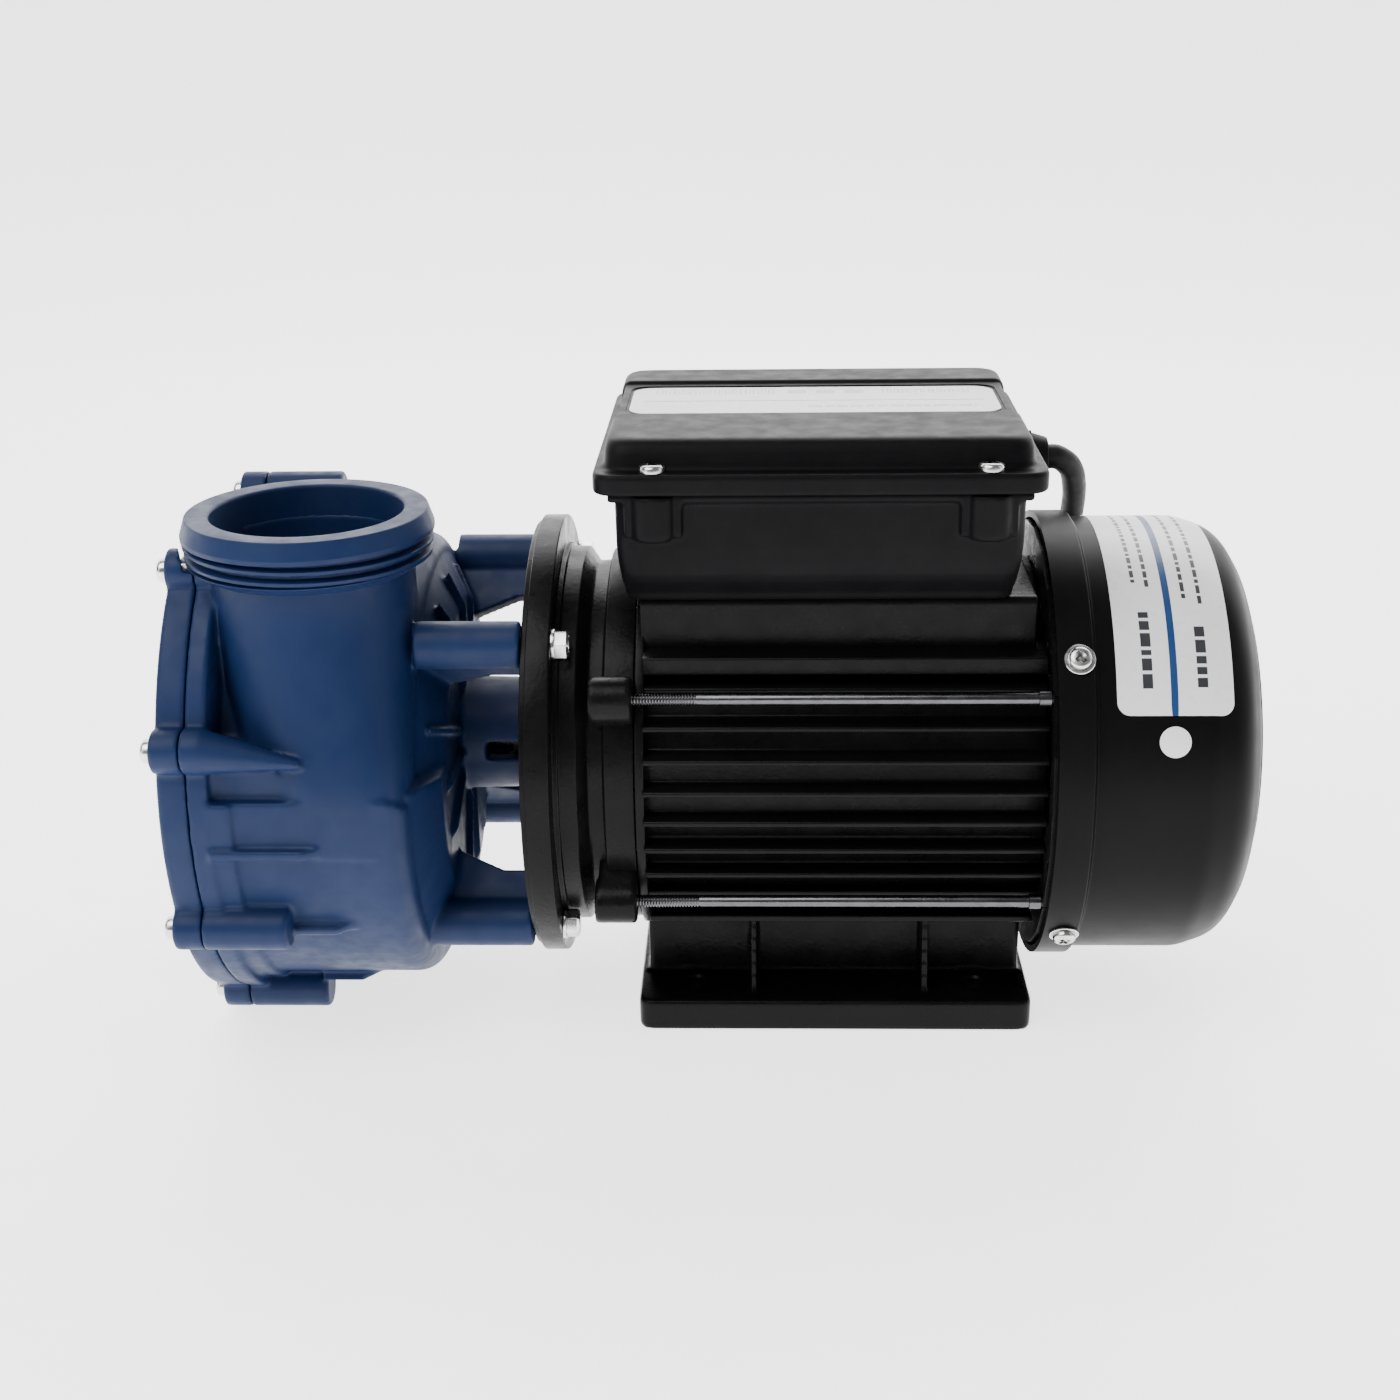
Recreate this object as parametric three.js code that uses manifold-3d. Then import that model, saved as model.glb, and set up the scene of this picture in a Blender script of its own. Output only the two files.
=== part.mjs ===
// Spa and pool circulation pump: plastic wet end, finned motor, terminal box and supply cord.
// Millimetres. The origin is the centre of the foot's hole pattern on its underside,
// +X runs along the shaft towards the cooling fan, -Y is the discharge port's side, +Z is up.
// Pieces on the shaft line are drawn about the shaft axis and raised by one group.
import * as THREE from 'three';
import { ConvexGeometry } from 'three/addons/geometries/ConvexGeometry.js';
import { mergeVertices } from 'three/addons/utils/BufferGeometryUtils.js';
import Module from 'manifold-3d';

const wasm = await Module();
wasm.setup();

// Driving dimensions.
const GAP = 0.3;                  // clearance between touching pieces
const SHAFT_HEIGHT = 85;          // shaft axis above the foot's underside

// Wet end, along X.
const COVER_FACE = -199.8;        // outer face of the front cover's flange
const SEAM = -191;                // joint between the cover and the volute
const RIM_BACK = -184.6;          // back of the volute's rim band
const VOLUTE_BACK = -120.5;       // back face of the volute
const RIM_RADIUS = 83.3;
const RIM_FLAT = 71;              // height of the flat that clears the discharge collar
const WALL = 5.5;
const SCROLL_START = 64;          // outer radius of the scroll at the top
const SCROLL_GROWTH = 17.5;       // growth by three quarters of a turn
const SHELF_HEIGHT = 10;          // where the scroll steps in under the discharge
const DRUM_RADIUS = 66;
const BOSS_CIRCLE = 83.7;
const BOSS_RADIUS = 6.7;
const BOSS_ANGLES = [33, 72, 113, 156, -156, -113, -72, -33];

// Discharge port, standing upright at the near side.
const PORT_X = -159.7;
const PORT_Y = -33.6;
const PORT_TOP = 85.5;
const PORT_BORE = 28.9;
const PORT_TUBE = 31.3;
const THREAD_RADIUS = 37.9;
const SUCTION_BORE = 27.3;
const SUCTION_FACE = -207.8;

// Motor, along X.
const FLANGE_FRONT = -95.2;
const FLANGE_BACK = -85.9;
const FLANGE_RADIUS = 71.5;
const BELL_RADIUS = 60.5;
const BELL_BACK = -61.7;
const FRAME_FRONT = -61.4;
const FRAME_BACK = 62.2;
const FRAME_RADIUS = 57.5;
const FRAME_BORE = 52;
const FIN_TIP = 63.9;
const FIN_PITCH = 9.6;
const POST_CIRCLE = 66;
const POST_ANGLES = [45, 135, -135, -45];
const ROD_CIRCLE = 66.6;
const ROD_RADIUS = 2.25;
const ROD_ANGLES = [60, 120, -120, -60];
const COVER_RIM = 63.7;
const COVER_END = 127.6;
const COVER_SCREW_ANGLES = [51.5, 128.5, -128.5, -51.5];
const SHAFT_RADIUS = 7.5;

// Foot, measured from the surface.
const FOOT_LENGTH = 126;
const FOOT_WIDTH = 95;
const FOOT_THICKNESS = 10.5;
const PEDESTAL_LENGTH = 121.4;
const FOOT_HOLE_X = 45;
const FOOT_HOLE_Y = 35;
const FOOT_HOLE_RADIUS = 3.75;

// Terminal box, measured from the surface.
const BOX = { x0: -66, x1: 53.6, halfDepth: 52, bottom: 144.6, top: 179.7, wall: 3 };
const LID = { x0: -71.2, x1: 58.4, halfDepth: 57.7, bottom: 180, top: 186.3, crown: 194.8 };
const LID_SCREW_X = [-54.5, 42.5];
const LID_SCREW_Y = 52.5;

// Cable gland in the box's end wall, and the supply cord.
const GLAND = { y: 30, z: 169.5, radius: 9 };
const CORD_RADIUS = 4;
const COIL = { x: 20, y: 192, radius: 44, pitch: 8.3, turnsAcross: 3 };

const BLUE = material(0x3e5f95, 0.5, 0);
const DARK_BLUE = material(0x33507f, 0.5, 0);
const BLACK = material(0x2b2b2e, 0.45, 0);
const CAST = material(0x37373a, 0.5, 0.3);
const CHROME = material(0xd5d7da, 0.22, 1);
const STEEL = material(0x8c8f94, 0.35, 1);
const RUBBER = material(0x19191a, 0.7, 0);
const COPPER = material(0xa85f34, 0.4, 0.8);
const CERAMIC = material(0xd9d5cb, 0.4, 0);
const GREY = material(0x9a9c9f, 0.5, 0);

function material(color, roughness, metalness) {
  return new THREE.MeshStandardMaterial({ color, roughness, metalness });
}

// ---- solids and booleans ----

function signedVolume(positions, triangles) {
  const [a, b, c] = [new THREE.Vector3(), new THREE.Vector3(), new THREE.Vector3()];
  let total = 0;
  for (let i = 0; i < triangles.length; i += 3) {
    a.fromArray(positions, 3 * triangles[i]);
    b.fromArray(positions, 3 * triangles[i + 1]);
    c.fromArray(positions, 3 * triangles[i + 2]);
    total += a.dot(b.cross(c)) / 6;
  }
  return total;
}

// A closed geometry as a solid, with its faces turned outwards.
function solid(piece) {
  if (!piece.isBufferGeometry) return piece;
  const bare = piece.clone();
  bare.deleteAttribute('normal');
  bare.deleteAttribute('uv');
  const merged = mergeVertices(bare, 1e-4);
  const positions = merged.attributes.position.array;
  const triangles = [];
  for (let i = 0; i < merged.index.count; i += 3) {
    const [a, b, c] = [0, 1, 2].map((k) => merged.index.getX(i + k));
    if (a !== b && b !== c && c !== a) triangles.push(a, b, c);
  }
  if (signedVolume(positions, triangles) < 0) triangles.reverse();
  const mesh = new wasm.Mesh({
    numProp: 3,
    vertProperties: new Float32Array(positions),
    triVerts: new Uint32Array(triangles),
  });
  return new wasm.Manifold(mesh);
}

function join(...pieces) {
  return pieces.map(solid).reduce((sum, next) => sum.add(next));
}

function cut(body, ...tools) {
  return tools.map(solid).reduce((rest, tool) => rest.subtract(tool), solid(body));
}

function common(a, b) {
  return solid(a).intersect(solid(b));
}

function toGeometry(piece) {
  const { vertProperties, triVerts } = solid(piece).getMesh();
  const geometry = new THREE.BufferGeometry();
  geometry.setAttribute('position', new THREE.BufferAttribute(vertProperties, 3));
  geometry.setIndex(new THREE.BufferAttribute(triVerts, 1));
  return geometry;
}

// ---- shape helpers: each returns a closed BufferGeometry ----

// Revolves a closed outline of [x, radius] points about the X axis.
function revolve(outline, segments = 24) {
  const points = [...outline, outline[0]].map(([x, r]) => new THREE.Vector2(r, x));
  return new THREE.LatheGeometry(points, segments).rotateZ(-Math.PI / 2);
}

function ring(x0, x1, outer, inner, segments = 24) {
  return revolve([[x0, inner], [x0, outer], [x1, outer], [x1, inner]], segments);
}

function rod(x0, x1, radius, segments = 12) {
  const geometry = new THREE.CylinderGeometry(radius, radius, x1 - x0, segments);
  return geometry.rotateZ(-Math.PI / 2).translate((x0 + x1) / 2, 0, 0);
}

function post(x, y, z0, z1, radius, segments = 12) {
  const geometry = new THREE.CylinderGeometry(radius, radius, z1 - z0, segments);
  return geometry.rotateX(Math.PI / 2).translate(x, y, (z0 + z1) / 2);
}

function block(x0, x1, y0, y1, z0, z1) {
  const geometry = new THREE.BoxGeometry(x1 - x0, y1 - y0, z1 - z0);
  return geometry.translate((x0 + x1) / 2, (y0 + y1) / 2, (z0 + z1) / 2);
}

function shapeOf(points) {
  return new THREE.Shape(points.map(([u, v]) => new THREE.Vector2(u, v)));
}

// Extrudes a [y, z] outline along X.
function alongX(points, x0, x1) {
  const settings = { depth: x1 - x0, bevelEnabled: false };
  const geometry = new THREE.ExtrudeGeometry(shapeOf(points), settings);
  const [x, y, z] = [new THREE.Vector3(1, 0, 0), new THREE.Vector3(0, 1, 0), new THREE.Vector3(0, 0, 1)];
  return geometry.applyMatrix4(new THREE.Matrix4().makeBasis(y, z, x)).translate(x0, 0, 0);
}

// Extrudes an [x, y] outline upwards.
function upright(points, z0, z1) {
  const settings = { depth: z1 - z0, bevelEnabled: false };
  return new THREE.ExtrudeGeometry(shapeOf(points), settings).translate(0, 0, z0);
}

// A rectangle with rounded corners, as [x, y] points.
function roundedRectangle(x0, x1, y0, y1, radius, steps = 2) {
  const corners = [[x1, y1, 0], [x0, y1, 90], [x0, y0, 180], [x1, y0, 270]];
  const points = [];
  for (const [cx, cy, start] of corners) {
    const ox = cx - Math.sign(cx - (x0 + x1) / 2) * radius;
    const oy = cy - Math.sign(cy - (y0 + y1) / 2) * radius;
    for (let i = 0; i <= steps; i += 1) {
      const angle = THREE.MathUtils.degToRad(start + (90 * i) / steps);
      points.push([ox + radius * Math.cos(angle), oy + radius * Math.sin(angle)]);
    }
  }
  return points;
}

// Angles on the shaft line run from straight up, positive towards -Y.
function polar(radius, degrees) {
  const angle = THREE.MathUtils.degToRad(degrees);
  return [-radius * Math.sin(angle), radius * Math.cos(angle)];
}

// Moves a piece drawn on the X axis out to a radius and angle.
function aroundShaft(geometry, radius, degrees) {
  return geometry.translate(0, 0, radius).rotateX(THREE.MathUtils.degToRad(degrees));
}

function arc(radiusAt, from, to, step) {
  const count = Math.max(1, Math.round(Math.abs(to - from) / step));
  return Array.from({ length: count + 1 }, (_, i) => {
    const angle = from + ((to - from) * i) / count;
    return polar(radiusAt(angle), angle);
  });
}

// ---- the scene graph ----

const pump = new THREE.Group();
const shaftLine = new THREE.Group();
shaftLine.position.z = SHAFT_HEIGHT;
pump.add(shaftLine);

function add(group, name, piece, finish) {
  const mesh = new THREE.Mesh(toGeometry(piece), finish);
  mesh.name = name;
  group.add(mesh);
  return mesh;
}

// ---- wet end ----

// Outer radius of the scroll: it grows from the top, round the far side and the bottom.
function scrollRadius(angle) {
  return SCROLL_START + SCROLL_GROWTH * Math.pow(Math.abs(angle) / 270, 0.75);
}

function scrollOutline(inset, shelf) {
  const end = -270 - THREE.MathUtils.radToDeg(Math.asin(shelf / (scrollRadius(276) - inset)));
  const scroll = arc((a) => scrollRadius(a) - inset, 0, end, 17);
  const drumAngle = 90 - THREE.MathUtils.radToDeg(Math.asin(shelf / (DRUM_RADIUS - inset)));
  const drumRadius = (a) => SCROLL_START - inset + ((DRUM_RADIUS - SCROLL_START) * a) / 90;
  return [...scroll, ...arc(drumRadius, drumAngle, 15, 15)];
}

// The cover's and the rim band's outline: a circle with a flat under the discharge collar.
function rimOutline() {
  const start = THREE.MathUtils.radToDeg(Math.acos(RIM_FLAT / RIM_RADIUS));
  return arc(() => RIM_RADIUS, start, 360 - start, 13);
}

function bosses(x0, x1, radius, angles = BOSS_ANGLES) {
  return angles.map((angle) => aroundShaft(rod(x0, x1, radius, radius > 4 ? 10 : 6), BOSS_CIRCLE, angle));
}

function ellipseAt(z, cx, cy, rx, ry) {
  return Array.from({ length: 14 }, (_, i) => {
    const angle = (i / 14) * 2 * Math.PI;
    return new THREE.Vector3(cx + rx * Math.cos(angle), cy + ry * Math.sin(angle), z);
  });
}

// The discharge tube widens downwards and flows into the near side of the scroll.
function dischargeTube() {
  const points = [
    ...ellipseAt(74, PORT_X, PORT_Y, PORT_TUBE, PORT_TUBE),
    ...ellipseAt(SHELF_HEIGHT, PORT_X + 3.2, -46.6, 33.6, 34.4),
    ...ellipseAt(-8, PORT_X + 3.7, -43, 29, 31),
  ];
  return new ConvexGeometry(points);
}

function uprightRevolve(outline, segments) {
  const points = [...outline, outline[0]].map(([r, z]) => new THREE.Vector2(r, z));
  return new THREE.LatheGeometry(points, segments).rotateX(Math.PI / 2).translate(PORT_X, PORT_Y, 0);
}

// Collar with the thread's crests and the plain lip above them.
function dischargeCollar() {
  return uprightRevolve([
    [PORT_BORE - 1, 70], [PORT_TUBE, 71.2], [36.4, 73], [36.1, 75], [37.2, 76.4], [36.2, 77.4], [THREAD_RADIUS, 78.6], [THREAD_RADIUS, 82.6], [35.8, PORT_TOP],
    [PORT_BORE - 1, PORT_TOP],
  ], 24);
}

function spiderWeb(angle) {
  const outline = [[-124, 66], [-124, 41], [-106, 49], [FLANGE_FRONT - GAP, 49], [FLANGE_FRONT - GAP, 66]];
  const web = new THREE.ExtrudeGeometry(shapeOf(outline), { depth: 5, bevelEnabled: false });
  const upAndAlong = web.translate(0, 0, -2.5).rotateX(Math.PI / 2);
  return upAndAlong.rotateX(THREE.MathUtils.degToRad(angle));
}

function voluteRibs() {
  return [[96, RIM_BACK, -154], [116.5, -165, -151], [150, -165, -142]].map(([angle, x0, x1]) => {
    const outline = [[x0 - 1, 70], [x0 - 1, 83], [x1 - 9, 83], [x1, 78], [x1, 70]];
    const rib = new THREE.ExtrudeGeometry(shapeOf(outline), { depth: 2.4, bevelEnabled: false });
    return rib.translate(0, 0, -1.2).rotateX(Math.PI / 2).rotateX(THREE.MathUtils.degToRad(angle));
  });
}

function voluteCasing() {
  const x = { front: SEAM + GAP, cavityBack: VOLUTE_BACK - WALL };
  const shell = join(
    alongX(rimOutline(), x.front, RIM_BACK),
    alongX(scrollOutline(0, SHELF_HEIGHT), x.front, VOLUTE_BACK - 6),
    alongX(scrollOutline(2, SHELF_HEIGHT), VOLUTE_BACK - 7, VOLUTE_BACK - 2.5),
    alongX(scrollOutline(6, SHELF_HEIGHT - 2), VOLUTE_BACK - 7, VOLUTE_BACK),
    dischargeTube(),
    dischargeCollar(),
    ...bosses(x.front, -165, BOSS_RADIUS),
    ...voluteRibs(),
  );
  const spider = join(
    ring(VOLUTE_BACK - 1, FLANGE_FRONT - GAP, 18, 13, 16),
    ...POST_ANGLES.map((a) => aroundShaft(rod(-124, FLANGE_FRONT - GAP, 7.25, 10), POST_CIRCLE, a)),
    ...POST_ANGLES.map(spiderWeb),
  );
  const chamber = join(
    alongX(scrollOutline(WALL, 2), RIM_BACK - 2, x.cavityBack),
    rod(x.front - 12, RIM_BACK - 1.9, 66, 24),
  );
  const sealHub = ring(-131.5, x.cavityBack + 1, 20.5, 15.5, 16);
  const hollowed = cut(
    shell,
    chamber,
    post(PORT_X, PORT_Y, 20, PORT_TOP + 1, PORT_BORE, 24),
    rod(x.cavityBack - 1, VOLUTE_BACK - 1.7, 15.5, 16),
    ...bosses(COVER_FACE, -168, 2.6, BOSS_ANGLES.slice(1)),
    ...bosses(COVER_FACE, -187.2, 2.6, BOSS_ANGLES.slice(0, 1)),
    block(-230, x.front, -95, 95, -95, RIM_FLAT),
  );
  const windows = block(-112, -98, -30, 30, -3, 3);
  const boltHoles = POST_ANGLES.map((a) => aroundShaft(rod(-110, -90, 2.5, 6), POST_CIRCLE, a));
  return cut(join(hollowed, sealHub, spider), rod(-130, -90, 9, 16), windows, ...boltHoles);
}

function frontCover() {
  const body = join(
    alongX(rimOutline(), COVER_FACE, SEAM),
    ...bosses(COVER_FACE, SEAM, BOSS_RADIUS),
    ring(SUCTION_FACE, COVER_FACE + 1, 37, SUCTION_BORE),
    ring(SEAM - 1, SEAM + 3.4, 62, 57),
  );
  const portRoom = post(PORT_X, PORT_Y, RIM_FLAT, PORT_TOP + 5, THREAD_RADIUS + 0.5, 24);
  const bore = rod(SUCTION_FACE - 1, -150, SUCTION_BORE, 24);
  return cut(body, portRoom, bore, ...bosses(COVER_FACE - 1, SEAM + 1, 2.6));
}

// The stationary ring round the impeller's eye, flanged against the inside of the cover.
function wearRing() {
  return revolve([
    [SEAM + GAP, SUCTION_BORE], [SEAM + GAP, 37], [SEAM + 2.6, 37], [SEAM + 2.6, 31],
    [-160, 31], [-160, SUCTION_BORE],
  ]);
}

function coverORing() {
  const section = Array.from({ length: 6 }, (_, i) => {
    const angle = (i / 6) * 2 * Math.PI;
    return [-188.9 + 1.4 * Math.cos(angle), 63.7 + 1.4 * Math.sin(angle)];
  });
  return revolve(section, 24);
}

function coverBolt(tip) {
  return join(
    revolve([[-203.2, 0.01], [-203.2, 2.4], [-202.2, 3.6], [COVER_FACE - GAP, 3.9], [COVER_FACE - GAP, 0.01]], 8),
    rod(COVER_FACE - GAP - 0.5, tip, 2.2, 6),
  );
}

function impeller() {
  const vanes = Array.from({ length: 6 }, (_, i) => {
    const vane = new THREE.Shape();
    vane.absarc(20, 24, 34, -2.62, -0.62, false);
    vane.absarc(20, 24, 36.4, -0.62, -2.62, true);
    const blade = new THREE.ExtrudeGeometry(vane, { depth: 12.2, bevelEnabled: false, curveSegments: 4 });
    return blade.rotateY(Math.PI / 2).translate(-154.4, 0, 0).rotateX((i * Math.PI) / 3);
  });
  const disc = revolve([
    [-150, 6.3], [-150, 11], [-144.5, 14], [-142.6, 52], [-139.7, 52], [-139.7, 6.3],
  ]);
  const shroud = revolve([
    [-166, 24], [-166, 26.4], [-157, 26.4], [-154.4, 52], [-152.4, 52], [-154.6, 24],
  ]);
  const swept = common(join(...vanes), ring(-156.8, -141, 51, 17));
  return cut(join(disc, shroud, swept), rod(-152, -139, 6.3));
}

function sealSeat() {
  return ring(-130.5, -124, 15, 8.6, 20);
}

function sealHead() {
  return revolve([[-139.4, 7.3], [-139.4, 14.5], [-134, 14.5], [-133, 12.2], [-130.8, 12.2], [-130.8, 7.3]], 18);
}

// ---- motor ----

function frontEndBell() {
  const shell = revolve([
    [FLANGE_FRONT, 9.5], [FLANGE_FRONT, 69.6], [-93.4, FLANGE_RADIUS], [-86.4, FLANGE_RADIUS],
    [FLANGE_BACK, 71], [FLANGE_BACK, 61], [-78.6, 61], [-75.6, 56.8], [-71, 56.8],
    [-71, BELL_RADIUS], [BELL_BACK, BELL_RADIUS], [BELL_BACK, 53], [-84, 53], [-84, 24],
    [-74.4, 22.5], [-74.4, 17.8], [-86.2, 17.8], [-86.2, 9.5],
  ], 24);
  const lugs = ROD_ANGLES.map((angle) => {
    const lug = join(
      rod(-71.6, BELL_BACK, 7, 10).translate(0, 0, ROD_CIRCLE),
      block(-71.6, BELL_BACK, -7, 7, 55, ROD_CIRCLE),
    );
    return lug.rotate([angle, 0, 0]);
  });
  const holes = [
    ...POST_ANGLES.map((a) => aroundShaft(rod(-96, -85, 2.6, 6), POST_CIRCLE, a)),
    ...ROD_ANGLES.map((a) => aroundShaft(rod(-70, -60, 2.8, 8), ROD_CIRCLE, a)),
  ];
  return cut(join(shell, ...lugs), ...holes);
}

function flangeBolt() {
  const washer = rod(-85.6, -84.6, 4.7, 10);
  const head = rod(-84.7, -80.8, 4.4, 6);
  return join(washer, head, rod(-106, -85, 2.2, 6)).translate([0, 0, POST_CIRCLE]);
}

function finnedSection() {
  const fins = [];
  for (const level of [-2.5, -1.5, -0.5, 0.5, 1.5, 2.5]) {
    fins.push([level * FIN_PITCH, Math.sqrt(FIN_TIP ** 2 - (level * FIN_PITCH) ** 2)]);
  }
  fins.push([33.5, 51.5], [-34, 51], [-47.6, 42]);
  return fins.map(([z, reach]) => alongX(
    [[-reach, z - 0.9], [reach, z - 0.9], [reach, z + 0.9], [-reach, z + 0.9]], -59, FRAME_BACK,
  ));
}

function footPlate() {
  const floor = -SHAFT_HEIGHT;
  const [hx, hy] = [FOOT_LENGTH / 2, FOOT_WIDTH / 2];
  const plate = upright(roundedRectangle(-hx, hx, -hy, hy, 5), floor, floor + FOOT_THICKNESS);
  const pedestal = block(-PEDESTAL_LENGTH / 2, PEDESTAL_LENGTH / 2, -27, 27, floor + 1, -40);
  const gussets = [-26, 29].map((x) => alongX(
    [[-42, floor + 9], [42, floor + 9], [36, -46], [-36, -46]], x - 2, x + 2,
  ));
  const holes = [-1, 1].flatMap((i) => [-1, 1].map((k) => post(
    i * FOOT_HOLE_X, k * FOOT_HOLE_Y, floor - 1, floor + 11, FOOT_HOLE_RADIUS, 10,
  )));
  return cut(join(plate, pedestal, ...gussets), ...holes);
}

function motorFrame() {
  const body = join(
    rod(-59.4, FRAME_BACK, FRAME_RADIUS, 30),
    rod(FRAME_FRONT, -58.8, 62.4, 30),
    alongX([[-50.5, 38.2], [50.5, 38.2], [50.5, 43.6], [-50.5, 43.6]], -57, 58),
    block(-57, 56, -41, 41, 40, 59.2),
    ...finnedSection(),
    footPlate(),
  );
  return cut(body, rod(FRAME_FRONT - 1, FRAME_BACK + 1, FRAME_BORE, 30), post(-4, 0, 40, 70, 9, 8));
}

function statorCore() {
  return ring(-38, 38, 51.3, 32.5, 28);
}

function winding(x0, x1) {
  return revolve([
    [x0, 35.5], [x0, 46], [x0 + 4, 49.5], [x1 - 4, 49.5], [x1, 46], [x1, 35.5],
  ], 20);
}

function rotorCore() {
  return revolve([
    [-46, 9.3], [-46, 26], [-38, 26], [-38, 31.2], [38, 31.2], [38, 26], [46, 26], [46, 9.3],
  ], 24);
}

function motorShaft() {
  return revolve([
    [-151, 0.01], [-151, 5], [-150, 6], [-139.5, 6], [-139.5, 7], [-107, 7], [-106.6, SHAFT_RADIUS],
    [-72, SHAFT_RADIUS], [-72, 9], [59, 9], [59, SHAFT_RADIUS], [78, SHAFT_RADIUS], [78, 6], [104, 6], [104, 0.01],
  ], 14);
}

function bearing(x0) {
  return {
    outer: ring(x0, x0 + 11, 17.5, 14.6, 20),
    inner: ring(x0, x0 + 11, 10.6, SHAFT_RADIUS + GAP, 16),
  };
}

function rearEndShield() {
  const plate = revolve([
    [62.6, 23], [62.6, 69], [73.5, 69], [73.5, 62], [67.6, 62], [67.6, 23], [75.4, 23],
    [77.4, 21], [77.4, 9.5], [75.4, 9.5], [75.4, 17.8], [62.6, 17.8],
  ], 24);
  const holes = [
    ...ROD_ANGLES.map((a) => aroundShaft(rod(62, 67.8, 2.5, 6), ROD_CIRCLE, a)),
    ...COVER_SCREW_ANGLES.map((a) => post(70, 0, 60, 75, 1.8, 6).rotateX(THREE.MathUtils.degToRad(a))),
  ];
  return cut(plate, ...holes);
}

function waveSpring() {
  return ring(74.3, 75, 17, 12, 16);
}

function coolingFan() {
  const hub = ring(82, 100, 12, 6.3, 14);
  const disc = ring(82, 84.5, 58, 11, 24);
  const blades = Array.from({ length: 8 }, (_, i) => {
    const blade = block(83, 106, -1.1, 1.1, 11, 60);
    return blade.rotateX((i * Math.PI) / 4);
  });
  return join(hub, disc, ...blades);
}

// Fan cover: a band at the rim, a drum and a rounded rear end with a ring of air slots.
function fanCover() {
  const outer = [[COVER_RIM, 72.1], [74, 72.1], [75, 70], [108, 70], [119, 66.8], [125.4, 58], [COVER_END, 48]];
  const inner = [[125.4, 48], [122.6, 58], [117, 64.6], [107, 67.7], [74.6, 67.8], [74, 69.8], [COVER_RIM, 69.8]];
  const shell = revolve([[COVER_END, 0.01], [125.4, 0.01], ...inner, ...outer], 30);
  const slots = Array.from({ length: 10 }, (_, i) => {
    const slot = block(120, 130, -4, 4, 18, 47);
    return slot.rotateX((i * Math.PI) / 5);
  });
  const screwHoles = COVER_SCREW_ANGLES.map((a) => (
    post(70, 0, 60, 80, 1.9, 6).rotateX(THREE.MathUtils.degToRad(a))
  ));
  return cut(shell, ...slots, ...screwHoles);
}

// Drawn pointing up; each copy is turned about the shaft.
function coverScrew() {
  return join(post(70, 0, 63.6, 73, 1.5, 6), post(70, 0, 72.5, 73.3, 4.6, 10), post(70, 0, 73.2, 75.2, 3.7, 10));
}

function tieRod() {
  const geometry = join(rod(-69, 62, ROD_RADIUS, 8), rod(58.6, 62.2, 3.1, 8), rod(62, 67, 1.9, 6));
  return geometry.translate([0, 0, ROD_CIRCLE]);
}

// ---- terminal box and what it holds ----

function terminalBox() {
  const { x0, x1, halfDepth: d, bottom, top, wall } = BOX;
  const shell = join(
    upright(roundedRectangle(x0, x1, -d, d, 5), bottom + 8, top),
    upright(roundedRectangle(x0 + 2, x1 - 2, -d + 4, d - 4, 5), bottom + 3.4, bottom + 9),
    upright(roundedRectangle(x0 + 8.5, x1 - 6, -d + 9, d - 9, 5), bottom, bottom + 4),
  );
  const pillars = LID_SCREW_X.flatMap((x) => [-1, 1].map((side) => (
    upright(roundedRectangle(x - 6.5, x + 6.5, side * 52.5 - 5.6, side * 52.5 + 5.6, 5), 167, top)
  )));
  const hollow = upright(
    roundedRectangle(x0 + wall + 7, x1 - wall - 4, -d + wall + 8, d - wall - 8, 4), bottom + wall, top + 1,
  );
  const holes = [
    ...LID_SCREW_X.flatMap((x) => [-1, 1].map((side) => post(x, side * LID_SCREW_Y, 171, 181, 2.2, 6))),
    post(-4, 0, bottom - 1, bottom + 6, 9, 8),
    rod(40, 60, 6.5, 12).translate(0, GLAND.y, GLAND.z),
    upright(gasketOutline(-1.9), top - 1.6, top + 1),
  ];
  return cut(join(shell, ...pillars), hollow, ...holes);
}

function gasketOutline(grow) {
  return roundedRectangle(BOX.x0 + 5 + grow, BOX.x1 - 5 - grow, -43 + grow, 43 - grow, 5);
}

function boxGasket() {
  const z0 = BOX.top - 1.6 + GAP;
  const inner = upright(gasketOutline(1.6), z0 - 1, z0 + 3);
  return cut(upright(gasketOutline(-1.5), z0, z0 + 1.2), inner);
}

function boxLid() {
  const { x0, x1, halfDepth: d, bottom, top, crown } = LID;
  const body = join(
    upright(roundedRectangle(x0, x1, -d, d, 8), bottom, top),
    upright(roundedRectangle(x0 + 3.6, x1 - 4.5, -d + 5.3, d - 5.3, 8), top - 1, crown - 2),
    upright(roundedRectangle(x0 + 6, x1 - 7, -d + 8, d - 8, 8), crown - 3, crown),
  );
  const pockets = LID_SCREW_X.flatMap((x) => [-1, 1].map((side) => (
    post(x, side * LID_SCREW_Y, top, crown + 2, 7, 12)
  )));
  const shanks = LID_SCREW_X.flatMap((x) => [-1, 1].map((side) => (
    post(x, side * LID_SCREW_Y, bottom - 1, top + 1, 2.3, 6)
  )));
  const hollow = upright(roundedRectangle(BOX.x0 + 8, BOX.x1 - 8, -40, 40, 4), bottom - 1, crown - 4);
  const recess = block(x0 - 1, x1 + 1, -26, 26, crown - 1.5, crown + 1);
  return cut(body, hollow, recess, ...pockets, ...shanks);
}

function lidScrew() {
  const head = post(0, 0, LID.top + GAP, LID.top + 2.4, 3.9, 10);
  return join(head, post(0, 0, 171.5, LID.top + 1, 1.9, 6));
}

function runCapacitor() {
  return rod(-46, 14, 13.5, 16).translate(0, 22, 164.5);
}

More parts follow.
